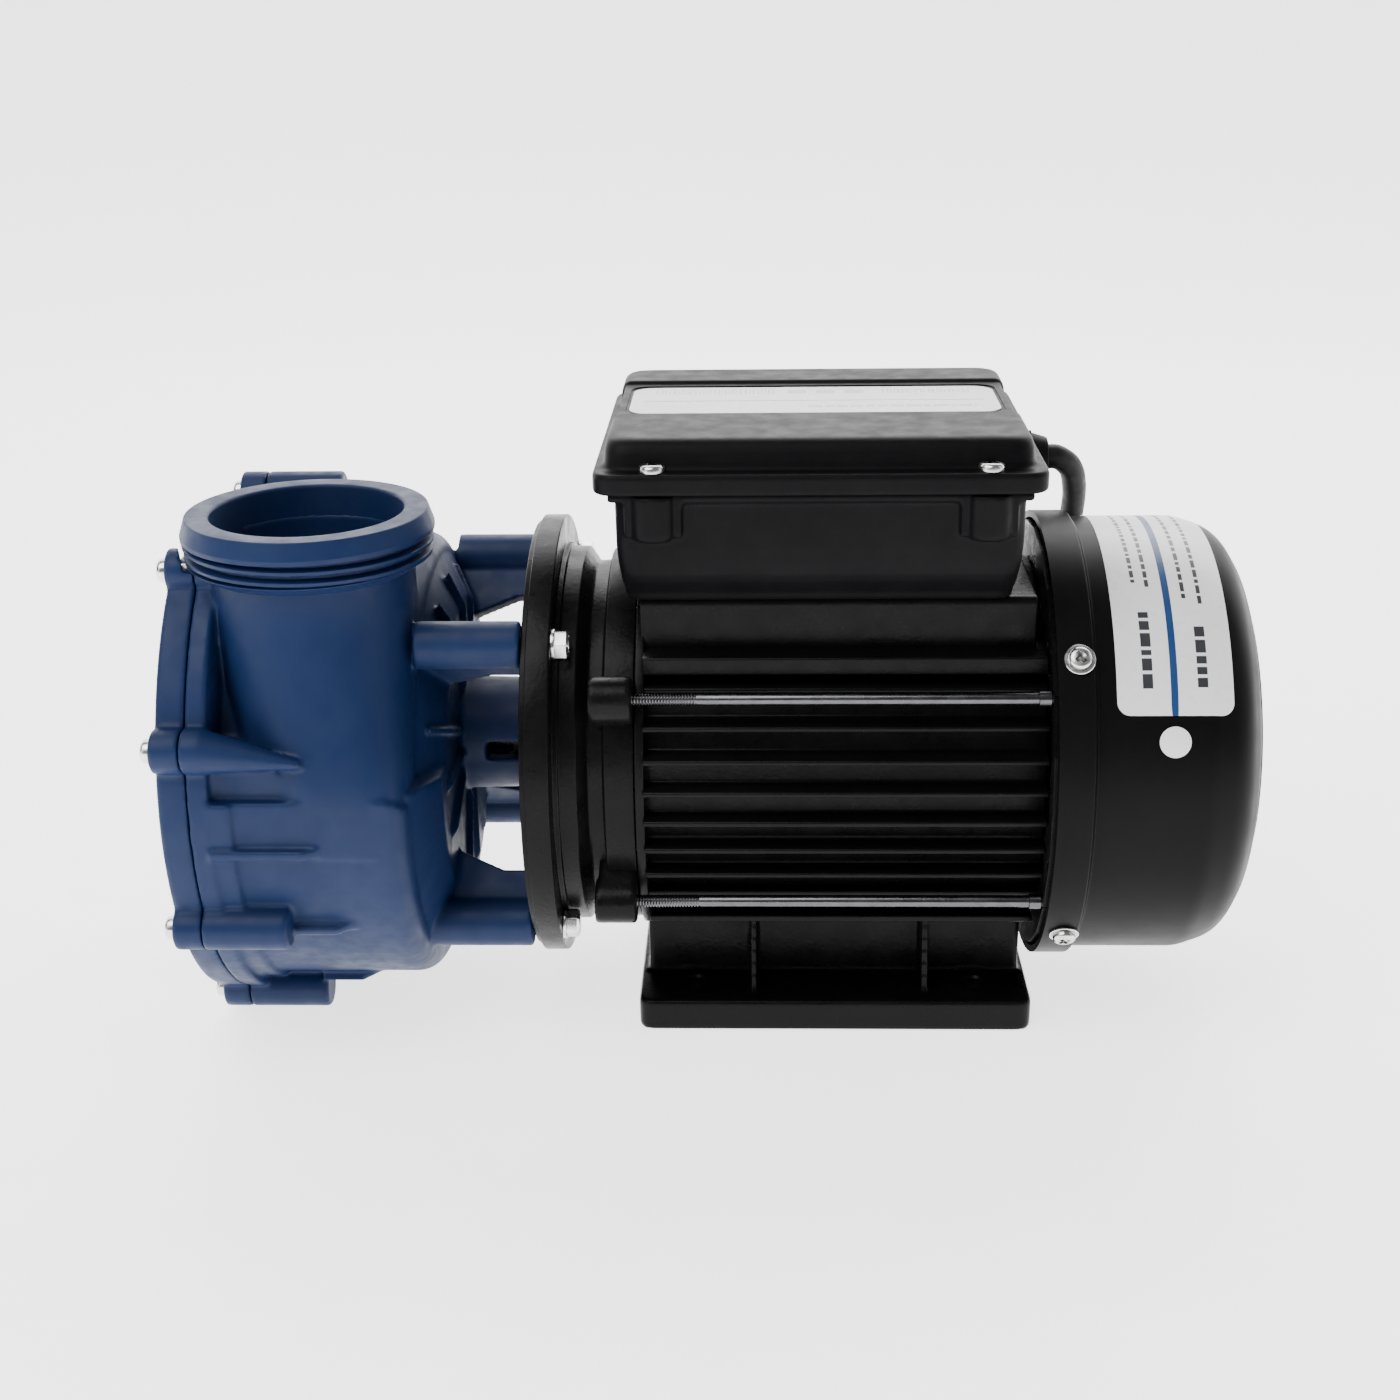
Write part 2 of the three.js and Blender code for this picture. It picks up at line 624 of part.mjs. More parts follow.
function terminalBlock() {
  const base = block(-40, 10, -30, -14, 149, 160);
  const dividers = [0, 1, 2, 3].map((i) => block(-40 + i * 16, -38 + i * 16, -30, -14, 159, 165));
  return join(base, ...dividers);
}

function cableGland() {
  const nut = rod(BOX.x1 + GAP, 64, GLAND.radius, 6);
  const dome = revolve([[63.5, 0.01], [63.5, 8], [70, 6.4], [70, 0.01]], 12);
  const tail = rod(49, BOX.x1 + 1, 6.1, 12);
  const bore = rod(40, 75, CORD_RADIUS + GAP, 10);
  return cut(join(nut, dome, tail), bore).translate([0, GLAND.y, GLAND.z]);
}

// ---- supply cord ----

const CORD_ROUTE = [
  [70.8, 30, 169.5], [73.2, 30.2, 169.3], [78, 33.5, 165.5], [81.5, 42.5, 156], [83, 55, 142], [84, 68, 126],
  [84.5, 80, 106], [84, 88, 80], [82, 94, 52], [80, 101, 26], [77, 112, 9], [74.5, 128, 4.2],
  [73.4, 142, 4.2], [73, 150, 4.2],
];
const TAIL_ROUTE = [
  [71.2, 228.2, 9.3], [68.8, 236.1, 7.4], [64.9, 243.3, 5.7], [59.7, 249.7, 4.5], [53.3, 254.9, 4.2],
  [46.1, 258.8, 4.4], [38.2, 261.2, 5.4], [31, 262, 6.9], [27, 262, 7.4],
];

function circleShape(radius, sides) {
  const points = Array.from({ length: sides }, (_, i) => {
    const angle = (i / sides) * 2 * Math.PI;
    return [radius * Math.cos(angle), radius * Math.sin(angle)];
  });
  return shapeOf(points);
}

function cordTube(route, steps) {
  const path = new THREE.CatmullRomCurve3(route.map((p) => new THREE.Vector3(...p)));
  const settings = { steps, extrudePath: path, bevelEnabled: false };
  return new THREE.ExtrudeGeometry(circleShape(CORD_RADIUS, 8), settings);
}

function cordCoil() {
  const half = (COIL.turnsAcross * COIL.pitch) / 2 + CORD_RADIUS - COIL.pitch / 2 + 0.4;
  const height = COIL.pitch + 2 * CORD_RADIUS;
  const outline = [
    [COIL.radius - half, 0.2], [COIL.radius + half, 0.2],
    [COIL.radius + half, height], [COIL.radius - half, height],
  ].map(([r, z]) => new THREE.Vector2(r, z));
  const geometry = new THREE.LatheGeometry([...outline, outline[0]], 28);
  return geometry.rotateX(Math.PI / 2).translate(COIL.x, COIL.y, 0);
}

function cordPlug() {
  const body = block(-9, 25.5, 253, 271, 0.3, 15);
  const pins = [-4.5, 4.5].map((offset) => rod(-26, -8, 2.2, 10).translate(0, 262 + offset, 7.6));
  return join(body, ...pins);
}

// ---- assembly ----

add(shaftLine, 'front_cover', frontCover(), DARK_BLUE);
add(shaftLine, 'volute_casing', voluteCasing(), BLUE);
add(shaftLine, 'cover_oring', coverORing(), RUBBER);
add(shaftLine, 'wear_ring', wearRing(), GREY);
BOSS_ANGLES.forEach((angle, i) => {
  const bolt = aroundShaft(toGeometry(coverBolt(i === 0 ? -187.5 : -170)), BOSS_CIRCLE, angle);
  add(shaftLine, `cover_bolt_${i + 1}`, bolt, CHROME);
});
add(shaftLine, 'impeller', impeller(), GREY);
add(shaftLine, 'seal_seat', sealSeat(), CERAMIC);
add(shaftLine, 'seal_head', sealHead(), STEEL);
add(shaftLine, 'water_slinger', ring(-104, -101, 11.6, SHAFT_RADIUS + GAP, 24), RUBBER);
add(shaftLine, 'motor_shaft', motorShaft(), CHROME);
add(shaftLine, 'front_end_bell', frontEndBell(), CAST);
POST_ANGLES.forEach((angle, i) => {
  const bolt = toGeometry(flangeBolt()).rotateX(THREE.MathUtils.degToRad(angle));
  add(shaftLine, `flange_bolt_${i + 1}`, bolt, CHROME);
});
const frontBearing = bearing(-85.7);
const rearBearing = bearing(63);
add(shaftLine, 'front_bearing_outer_ring', frontBearing.outer, STEEL);
add(shaftLine, 'front_bearing_inner_ring', frontBearing.inner, STEEL);
add(shaftLine, 'rear_bearing_outer_ring', rearBearing.outer, STEEL);
add(shaftLine, 'rear_bearing_inner_ring', rearBearing.inner, STEEL);
add(shaftLine, 'rotor_core', rotorCore(), STEEL);
add(shaftLine, 'stator_core', statorCore(), STEEL);
add(shaftLine, 'front_winding', winding(-58, -38.4), COPPER);
add(shaftLine, 'rear_winding', winding(38.4, 58), COPPER);
add(shaftLine, 'motor_frame', motorFrame(), CAST);
add(shaftLine, 'rear_end_shield', rearEndShield(), CAST);
add(shaftLine, 'wave_spring', waveSpring(), STEEL);
add(shaftLine, 'cooling_fan', coolingFan(), BLACK);
add(shaftLine, 'fan_cover', fanCover(), BLACK);
COVER_SCREW_ANGLES.forEach((angle, i) => {
  const screw = toGeometry(coverScrew()).rotateX(THREE.MathUtils.degToRad(angle));
  add(shaftLine, `fan_cover_screw_${i + 1}`, screw, CHROME);
});
ROD_ANGLES.forEach((angle, i) => {
  const tie = toGeometry(tieRod()).rotateX(THREE.MathUtils.degToRad(angle));
  add(shaftLine, `tie_rod_${i + 1}`, tie, CHROME);
});
add(pump, 'terminal_box', terminalBox(), BLACK);
add(pump, 'box_gasket', boxGasket(), RUBBER);
add(pump, 'box_lid', boxLid(), BLACK);
[[0, -1], [0, 1], [1, -1], [1, 1]].forEach(([i, side], k) => {
  const screw = toGeometry(lidScrew()).translate(LID_SCREW_X[i], side * LID_SCREW_Y, 0);
  add(pump, `lid_screw_${k + 1}`, screw, CHROME);
});
add(pump, 'run_capacitor', runCapacitor(), GREY);
add(pump, 'terminal_block', terminalBlock(), CERAMIC);
add(pump, 'cable_gland', cableGland(), BLACK);
add(pump, 'power_cord', cordTube(CORD_ROUTE, 24), RUBBER);
add(pump, 'cord_coil', cordCoil(), RUBBER);
add(pump, 'cord_tail', cordTube(TAIL_ROUTE, 9), RUBBER);
add(pump, 'cord_plug', cordPlug(), RUBBER);

export default pump;
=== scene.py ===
import math

import bmesh
import bpy
import numpy as np
from mathutils import Matrix, Vector


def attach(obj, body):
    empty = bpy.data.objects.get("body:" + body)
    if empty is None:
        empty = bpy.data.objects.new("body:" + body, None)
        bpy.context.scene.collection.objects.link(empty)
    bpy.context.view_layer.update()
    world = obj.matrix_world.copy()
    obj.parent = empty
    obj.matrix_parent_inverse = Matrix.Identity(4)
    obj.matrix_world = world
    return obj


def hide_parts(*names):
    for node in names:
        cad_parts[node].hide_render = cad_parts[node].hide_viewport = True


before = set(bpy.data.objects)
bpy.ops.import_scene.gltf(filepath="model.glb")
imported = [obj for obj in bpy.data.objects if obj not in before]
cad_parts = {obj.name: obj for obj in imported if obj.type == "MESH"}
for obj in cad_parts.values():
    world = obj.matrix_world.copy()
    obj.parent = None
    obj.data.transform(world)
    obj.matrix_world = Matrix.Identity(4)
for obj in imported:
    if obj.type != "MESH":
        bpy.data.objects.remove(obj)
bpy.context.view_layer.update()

# Lengths below are millimetres in the part's frame; every piece is scaled to metres when it is placed.
MM = 0.001
SHAFT = 85.0
TAU = 2 * math.pi

# ---- camera: fitted to the photo's own points ----

FOCAL_LENGTH = 50.42
CAMERA_AT = Vector((-22.4, -600.1, 326.6))
CAMERA_RIGHT = Vector((0.99946, 0.02992, -0.01372)).normalized()
CAMERA_FORWARD = Vector((-0.03285, 0.93291, -0.35863)).normalized()
camera_data = bpy.data.cameras.new("camera")
camera = bpy.data.objects.new("camera", camera_data)
bpy.context.scene.collection.objects.link(camera)
bpy.context.scene.camera = camera
camera_data.sensor_width = 36.0
camera_data.lens = FOCAL_LENGTH
camera_data.clip_start = 0.01
camera_data.clip_end = 20.0
UP = CAMERA_RIGHT.cross(CAMERA_FORWARD).normalized()
ACROSS = CAMERA_FORWARD.cross(UP).normalized()
rotation = Matrix((ACROSS, UP, -CAMERA_FORWARD)).transposed().to_4x4()
camera.matrix_world = Matrix.Translation(CAMERA_AT * MM) @ rotation

# ---- mesh tools ----


def mesh_object(name, points, faces):
    mesh = bpy.data.meshes.new(name)
    mesh.from_pydata([tuple(float(c) for c in p) for p in points], [], faces)
    mesh.update()
    made = bpy.data.objects.new(name, mesh)
    bpy.context.scene.collection.objects.link(made)
    return made


def face_outwards(obj):
    sheet = bmesh.new()
    sheet.from_mesh(obj.data)
    bmesh.ops.recalc_face_normals(sheet, faces=sheet.faces)
    if sheet.calc_volume(signed=True) < 0:
        bmesh.ops.reverse_faces(sheet, faces=sheet.faces)
    sheet.to_mesh(obj.data)
    sheet.free()
    return obj


def loft(name, rings, wrap=False):
    """Joins equally long closed rings with quads. It caps the ends, or joins the last ring to the first."""
    count = len(rings[0])
    points = [p for ring in rings for p in ring]
    faces = []
    spans = len(rings) if wrap else len(rings) - 1
    for i in range(spans):
        a, b = i * count, ((i + 1) % len(rings)) * count
        faces += [(a + k, a + (k + 1) % count, b + (k + 1) % count, b + k) for k in range(count)]
    if not wrap:
        last = (len(rings) - 1) * count
        faces += [tuple(range(count))[::-1], tuple(range(last, last + count))]
    return face_outwards(mesh_object(name, points, faces))


def fillet(points, radii, steps=5, closed=True):
    """Rounds the corners of a 2D line of points. radii is one number, or one for each point."""
    points = [Vector(p) for p in points]
    if isinstance(radii, (int, float)):
        radii = [radii] * len(points)
    made = []
    for i, (corner, radius) in enumerate(zip(points, radii)):
        at_end = not closed and i in (0, len(points) - 1)
        if at_end or radius <= 0:
            made.append(corner)
            continue
        before, after = points[i - 1] - corner, points[(i + 1) % len(points)] - corner
        angle = before.angle(after)
        if angle > math.pi - 0.02:
            made.append(corner)
            continue
        reach = min(radius / math.tan(angle / 2), 0.49 * before.length, 0.49 * after.length)
        start, end = corner + before.normalized() * reach, corner + after.normalized() * reach
        for k in range(steps + 1):
            t = k / steps
            made.append(start * (1 - t) ** 2 + corner * 2 * t * (1 - t) + end * t * t)
    return [tuple(p) for p in made]


def circle(radius, count, start=0.0):
    angles = [start + TAU * k / count for k in range(count)]
    return [(radius * math.cos(a), radius * math.sin(a)) for a in angles]


def turned(name, profile, segments=96, wrap=True, centre=(0.0, SHAFT), axis="x"):
    """Revolves (along, radius) points about a line along X, or about an upright line with axis="z".

    centre is where the line passes: (y, z) for a line along X, (x, y) for an upright one.
    """
    rings = []
    for along, radius in profile:
        ring = circle(max(radius, 0.02), segments)
        if axis == "x":
            rings.append([(along, centre[0] + u, centre[1] + v) for u, v in ring])
        else:
            rings.append([(centre[0] + u, centre[1] + v, along) for u, v in ring])
    return loft(name, rings, wrap)


def inset(outline, distance):
    """Moves a closed 2D outline inwards by a small distance."""
    points = np.array(outline, float)
    ahead = np.roll(points, -1, 0) - points
    behind = points - np.roll(points, 1, 0)
    ahead /= np.linalg.norm(ahead, axis=1)[:, None] + 1e-12
    behind /= np.linalg.norm(behind, axis=1)[:, None] + 1e-12
    tangent = ahead + behind
    tangent /= np.linalg.norm(tangent, axis=1)[:, None] + 1e-12
    area = 0.5 * np.sum(points[:, 0] * np.roll(points[:, 1], -1) - np.roll(points[:, 0], -1) * points[:, 1])
    normal = np.stack([-tangent[:, 1], tangent[:, 0]], 1) * (1 if area > 0 else -1)
    stretch = 1 / np.clip(np.sum(tangent * ahead, 1), 0.6, 1)
    return points + normal * (distance * stretch)[:, None]


def edge_levels(end, side, radius, steps):
    """(level, inset) pairs that round the edge of an end face, from the face inwards."""
    if radius <= 0:
        return [(end, 0.0)]
    turns = [math.pi / 2 * k / steps for k in range(steps + 1)]
    return [(end + side * radius * (1 - math.cos(t)), radius * (1 - math.sin(t))) for t in turns]


def prism(name, outline, low, high, axis="x", rounding=(0.0, 0.0), steps=4):
    """Extrudes an outline of (y, z) points along X, or of (x, y) points upwards, with rounded end edges."""
    rings = []
    levels = edge_levels(low, 1, rounding[0], steps) + edge_levels(high, -1, rounding[1], steps)[::-1]
    for level, distance in levels:
        ring = inset(outline, distance) if distance > 1e-9 else outline
        if axis == "x":
            rings.append([(level, u, v) for u, v in ring])
        else:
            rings.append([(u, v, level) for u, v in ring])
    return loft(name, rings)


def applied(obj):
    """Applies the modifiers on obj."""
    graph = bpy.context.evaluated_depsgraph_get()
    mesh = bpy.data.meshes.new_from_object(obj.evaluated_get(graph))
    obj.modifiers.clear()
    old = obj.data
    obj.data = mesh
    bpy.data.meshes.remove(old)
    return obj


def boolean(target, operation, tools):
    for tool in tools:
        change = target.modifiers.new("boolean", "BOOLEAN")
        change.operation = operation
        change.solver = "MANIFOLD"
        change.object = tool
    applied(target)
    for tool in tools:
        bpy.data.objects.remove(tool)
    return target


def union(target, *tools):
    return boolean(target, "UNION", tools)


def cut(target, *tools):
    return boolean(target, "DIFFERENCE", tools)


def cast(obj, voxel, smooth=3, keep=1.0):
    """Turns sharp joined solids into one skin with moulded edges and corners."""
    change = obj.modifiers.new("remesh", "REMESH")
    change.mode = "VOXEL"
    change.voxel_size = voxel
    soften = obj.modifiers.new("smooth", "SMOOTH")
    soften.factor = 0.5
    soften.iterations = smooth
    if keep < 1:
        thin = obj.modifiers.new("decimate", "DECIMATE")
        thin.ratio = keep
    applied(obj)
    return obj


def moved(obj, matrix):
    obj.data.transform(matrix)
    if matrix.determinant() < 0:
        obj.data.flip_normals()
    return obj


def joined(name, parts):
    """One mesh of several closed shells."""
    sheet = bmesh.new()
    for part in parts:
        sheet.from_mesh(part.data)
        bpy.data.objects.remove(part)
    mesh = bpy.data.meshes.new(name)
    sheet.to_mesh(mesh)
    sheet.free()
    made = bpy.data.objects.new(name, mesh)
    bpy.context.scene.collection.objects.link(made)
    return made


def place(obj, body, material, replaces=(), sharp=35):
    """Scales a finished piece to metres, shades it, and makes it ride on its body."""
    if obj.type == "MESH":
        obj.data.transform(Matrix.Scale(MM, 4))
        obj.data.shade_smooth()
        if sharp:
            obj.data.set_sharp_from_angle(angle=math.radians(sharp))
    if not any(obj.data.materials):
        obj.data.materials.clear()
        obj.data.materials.append(material)
    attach(obj, body)
    if replaces:
        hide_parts(*replaces)
    return obj


# ---- materials ----


class Finish:
    """A procedural material on a Principled shader, built from noise in object space."""

    def __init__(self, name, color, roughness, metallic=0.0, specular=0.5):
        self.material = bpy.data.materials.new(name)
        self.material.use_nodes = True
        self.nodes = self.material.node_tree.nodes
        self.links = self.material.node_tree.links
        self.shader = self.nodes["Principled BSDF"]
        self.shader.inputs["Base Color"].default_value = (*color, 1)
        self.shader.inputs["Metallic"].default_value = metallic
        self.shader.inputs["Roughness"].default_value = roughness
        self.shader.inputs["Specular IOR Level"].default_value = specular
        self.color = color
        self.place = self.nodes.new("ShaderNodeTexCoord").outputs["Object"]
        self.height = None

    def noise(self, scale, detail, stretch=(1, 1, 1)):
        mapping = self.nodes.new("ShaderNodeMapping")
        mapping.inputs["Scale"].default_value = stretch
        self.links.new(self.place, mapping.inputs["Vector"])
        texture = self.nodes.new("ShaderNodeTexNoise")
        texture.inputs["Scale"].default_value = scale
        texture.inputs["Detail"].default_value = detail
        texture.inputs["Roughness"].default_value = 0.55
        self.links.new(mapping.outputs[0], texture.inputs["Vector"])
        return texture.outputs["Fac"]

    def spread(self, value, low, high, source=(0.35, 0.65)):
        remap = self.nodes.new("ShaderNodeMapRange")
        remap.inputs["From Min"].default_value = source[0]
        remap.inputs["From Max"].default_value = source[1]
        remap.inputs["To Min"].default_value = low
        remap.inputs["To Max"].default_value = high
        self.links.new(value, remap.inputs["Value"])
        return remap.outputs[0]

    def tint(self, value, other, amount):
        """Mixes the colour so far towards another where value is high."""
        mix = self.nodes.new("ShaderNodeMix")
        mix.data_type = "RGBA"
        current = self.shader.inputs["Base Color"]
        if current.is_linked:
            self.links.new(current.links[0].from_socket, mix.inputs["A"])
        else:
            mix.inputs["A"].default_value = (*self.color, 1)
        mix.inputs["B"].default_value = (*other, 1)
        scaled = self.nodes.new("ShaderNodeMath")
        scaled.operation = "MULTIPLY"
        scaled.inputs[1].default_value = amount
        self.links.new(value, scaled.inputs[0])
        self.links.new(scaled.outputs[0], mix.inputs["Factor"])
        self.links.new(mix.outputs["Result"], current)

    def gloss(self, value, low, high):
        self.links.new(self.spread(value, low, high), self.shader.inputs["Roughness"])

    def bump(self, value, strength, distance):
        node = self.nodes.new("ShaderNodeBump")
        node.inputs["Strength"].default_value = strength
        node.inputs["Distance"].default_value = distance
        self.links.new(value, node.inputs["Height"])
        if self.height is not None:
            self.links.new(self.height, node.inputs["Normal"])
        self.height = node.outputs["Normal"]
        self.links.new(self.height, self.shader.inputs["Normal"])

    def edges(self, other, amount):
        """Paints a paler line where the surface is convex: a painted edge highlight."""
        geometry = self.nodes.new("ShaderNodeNewGeometry")
        self.tint(self.spread(geometry.outputs["Pointiness"], 0.0, 1.0, (0.52, 0.6)), other, amount)

    def paint_recess_shade(self, other, amount, reach=0.0016):
        """Paints shade into slots and creases narrower than the reach, in metres: a painted shade taken from
        ambient occlusion.
        """
        shade = self.nodes.new("ShaderNodeAmbientOcclusion")
        shade.inputs["Distance"].default_value = reach
        self.tint(self.spread(shade.outputs["AO"], 1.0, 0.0, (0.3, 0.8)), other, amount)


def finished(name, color, roughness, mottle, gloss, bumps, metallic=0.0, specular=0.5, grain=(1, 1, 1)):
    """A finish with mottled colour, uneven gloss and fine bumps.

    mottle is (noise scale, other colour, amount), gloss is (noise scale, low, high), and each of bumps is
    (noise scale, detail, strength, depth in metres). grain stretches the noise under the gloss.
    """
    finish = Finish(name, color, roughness, metallic, specular)
    scale, other, amount = mottle
    finish.tint(finish.spread(finish.noise(scale, 4), 0, 1), other, amount)
    scale, low, high = gloss
    finish.gloss(finish.noise(scale, 4, grain), low, high)
    for scale, detail, strength, depth in bumps:
        finish.bump(finish.noise(scale, detail), strength, depth)
    return finish


def faded(color, share):
    return tuple(share * c for c in color)


def blue_plastic():
    finish = finished("blue_plastic", (0.0054, 0.0168, 0.064), 0.5, (14, (0.0046, 0.014, 0.053), 0.5),
                      (160, 0.42, 0.56), [(2600, 2, 0.12, 0.0002), (220, 3, 0.05, 0.0006)], specular=0.19)
    streaks = finish.noise(90, 5, (1, 0.4, 0.4))
    finish.tint(finish.spread(streaks, 0, 1, (0.5, 0.8)), (0.013, 0.03, 0.088), 0.25)
    # Painted highlight: a paler blue line along the convex edges.
    finish.edges((0.016, 0.038, 0.105), 0.3)
    return finish.material


def bright_metal(name, color=(0.78, 0.78, 0.77), rough=(0.14, 0.3)):
    finish = finished(name, color, 0.2, (300, faded(color, 0.72), 0.6), (500, *rough),
                      [(1500, 3, 0.06, 0.0002)], metallic=1.0, grain=(0.3, 1, 1))
    # Painted shade: near-black in the cross slots and in the creases where a screw meets a surface.
    finish.paint_recess_shade((0.02, 0.02, 0.02), 0.95)
    return finish.material


def dull_metal(name, color):
    return finished(name, color, 0.45, (120, faded(color, 0.6), 0.6), (300, 0.35, 0.55),
                    [(900, 3, 0.1, 0.0003)], metallic=1.0).material


def pale(name, color, rough=(0.3, 0.45)):
    return finished(name, color, 0.4, (50, faded(color, 0.9), 0.6), (200, *rough),
                    [(1200, 2, 0.05, 0.0002)]).material


BLUE = blue_plastic()
PAINT = finished("black_paint", (0.0032, 0.0032, 0.0036), 0.32, (30, (0.0052, 0.0052, 0.0056), 0.6),
                 (120, 0.24, 0.38), [(900, 3, 0.16, 0.0004), (260, 2, 0.14, 0.0006)], specular=0.09).material
PLASTIC = finished("black_plastic", (0.0036, 0.0036, 0.0042), 0.42, (40, (0.0056, 0.0056, 0.0062), 0.5),
                   (150, 0.36, 0.48), [(3200, 2, 0.14, 0.0002)], specular=0.06).material
ENAMEL = finished("black_enamel", (0.0036, 0.0036, 0.004), 0.38, (20, (0.0055, 0.0055, 0.006), 0.5),
                  (60, 0.34, 0.42), [(700, 2, 0.05, 0.0003)], specular=0.06).material
RUBBER = finished("black_rubber", (0.005, 0.005, 0.005), 0.55, (60, (0.008, 0.008, 0.008), 0.6),
                  (200, 0.45, 0.62), [(1800, 3, 0.1, 0.0003)], specular=0.2).material
SCREW = bright_metal("plated_steel")
ROD_STEEL = bright_metal("rod_steel", (0.11, 0.11, 0.115), (0.2, 0.32))
STEEL = bright_metal("ground_steel", (0.62, 0.62, 0.63), (0.2, 0.36))
COPPER = dull_metal("enamelled_copper", (0.6, 0.24, 0.09))
IRON = dull_metal("lamination_steel", (0.35, 0.35, 0.36))
CERAMIC = pale("ceramic", (0.75, 0.72, 0.66))
GREY = pale("grey_plastic", (0.35, 0.36, 0.37))
IMPELLER = pale("impeller_plastic", (0.03, 0.035, 0.05), (0.35, 0.5))
LABEL = pale("label_film", (0.86, 0.86, 0.87), (0.25, 0.35))
PRINT_ROUGHNESS = (0.28, 0.4)
INK = pale("printed_grey", (0.03, 0.031, 0.035), PRINT_ROUGHNESS)
BLUE_INK = pale("printed_blue", (0.008, 0.045, 0.16), PRINT_ROUGHNESS)
FAINT_INK = pale("printed_pale_grey", (0.55, 0.56, 0.6), PRINT_ROUGHNESS)

# ---- supply cord: the route repeats the part's own ----

# LOWER and UPPER are the heights of the cord's middle in the coil's two layers.
CORD_RADIUS = 4.0
COIL_X, COIL_Y, COIL_RADIUS, PITCH = 20.0, 192.0, 44.0, 8.3
LOWER, UPPER = 4.2, 12.5
TIE_ANGLE, TIE_WIDTH = 215, 9.9
CORD_START = [
    (65.0, 30.0, 169.5), (68.0, 30.0, 169.5), (70.8, 30.0, 169.5), (73.2, 30.2, 169.3), (78.0, 33.5, 165.5),
    (81.5, 42.5, 156.0), (83.0, 55.0, 142.0), (84.0, 68.0, 126.0), (84.5, 80.0, 106.0), (84.0, 88.0, 80.0),
    (82.0, 94.0, 52.0), (80.0, 101.0, 26.0), (77.0, 112.0, 9.0), (74.5, 128.0, 4.2),
    (73.4, 142.0, 4.2), (73.0, 150.0, 4.2), (72.6, 163.0, 4.2), (72.4, 178.0, 4.2),
]
CORD_END = [
    (72.3, 204.0, 12.4), (72.2, 212.0, 12.0), (72.0, 220.0, 11.0), (71.2, 228.2, 9.3), (68.8, 236.1, 7.4),
    (64.9, 243.3, 5.7), (59.7, 249.7, 4.5), (53.3, 254.9, 4.2), (46.1, 258.8, 4.4), (38.2, 261.2, 5.4),
    (30.0, 262.0, 6.8), (26.0, 262.0, 7.4), (20.0, 262.0, 7.6),
]


def coil_points(turns=4, per_turn=24):
    """A flat spiral inwards, a climb, and a flat spiral outwards on top of it."""
    points = []
    total = turns * per_turn
    half = total / 2
    climb = per_turn / 3
    for k in range(total + 1):
        angle = TAU * k / per_turn
        inward = 1 - abs(k - half) / half
        radius = COIL_RADIUS + PITCH - 2 * PITCH * inward
        rise = min(1, max(0, (k - half + climb / 2) / climb))
        z = LOWER + (UPPER - LOWER) * rise * rise * (3 - 2 * rise)
        points.append((COIL_X + radius * math.cos(angle), COIL_Y + radius * math.sin(angle), z))
    return points


def smooth_route(points, per_span=6):
    """Points on a centripetal Catmull-Rom curve through the given points."""
    given = [Vector(p) for p in points]
    given = [2 * given[0] - given[1], *given, 2 * given[-1] - given[-2]]
    made = []
    for a, b, c, d in zip(given, given[1:], given[2:], given[3:]):
        t0 = 0.0
        t1 = t0 + (b - a).length ** 0.5
        t2 = t1 + (c - b).length ** 0.5
        t3 = t2 + (d - c).length ** 0.5
        for k in range(per_span):
            t = t1 + (t2 - t1) * k / per_span
            p = a * ((t1 - t) / (t1 - t0)) + b * ((t - t0) / (t1 - t0))
            q = b * ((t2 - t) / (t2 - t1)) + c * ((t - t1) / (t2 - t1))
            r = c * ((t3 - t) / (t3 - t2)) + d * ((t - t2) / (t3 - t2))
            u = p * ((t2 - t) / (t2 - t0)) + q * ((t - t0) / (t2 - t0))
            v = q * ((t3 - t) / (t3 - t1)) + r * ((t - t1) / (t3 - t1))
            made.append(u * ((t2 - t) / (t2 - t1)) + v * ((t - t1) / (t2 - t1)))
    made.append(given[-2])
    return made


ROUTE = smooth_route(CORD_START + coil_points() + CORD_END)


def power_cord():
    curve = bpy.data.curves.new("supply_cord", "CURVE")
    curve.dimensions = "3D"
    curve.bevel_depth = CORD_RADIUS * MM
    curve.bevel_resolution = 5
    curve.use_fill_caps = True
    line = curve.splines.new("POLY")
    line.points.add(len(ROUTE) - 1)
    for point, at in zip(line.points, ROUTE):
        point.co = (*(at * MM), 1)
    line.use_smooth = True
    made = bpy.data.objects.new("supply_cord", curve)
    bpy.context.scene.collection.objects.link(made)
    return made


def coil_tie():
    """A strap round the coil's turns."""
    angle = math.radians(TIE_ANGLE)
    out = Vector((math.cos(angle), math.sin(angle), 0))
    half, floor_gap, top = TIE_WIDTH / 2 + CORD_RADIUS + 0.5, 0.25, UPPER + CORD_RADIUS + 0.5
    outline = fillet([(-half, floor_gap), (half, floor_gap), (half, top), (-half, top)], 3.6, 8)
    inner = inset(outline, 0.45)
    centre = Vector((COIL_X, COIL_Y, 0)) + out * COIL_RADIUS
    along = Vector((-out.y, out.x, 0))
    rings = []
    for ring, offset in ((outline, -3.5), (outline, 3.5), (inner, 3.5), (inner, -3.5)):
        rings.append([centre + out * u + Vector((0, 0, v)) + along * offset for u, v in ring])
    return loft("coil_tie", rings, wrap=True)


cord = power_cord()
cord.data.materials.append(RUBBER)
tie = coil_tie()

# ---- wet end ----

COVER_FACE, SEAM, RIM_BACK, SIDE_END, VOLUTE_BACK = -199.8, -191.0, -184.6, -127.5, -120.5
RIM_RADIUS, RIM_FLAT, WALL = 83.3, 71.0, 5.5
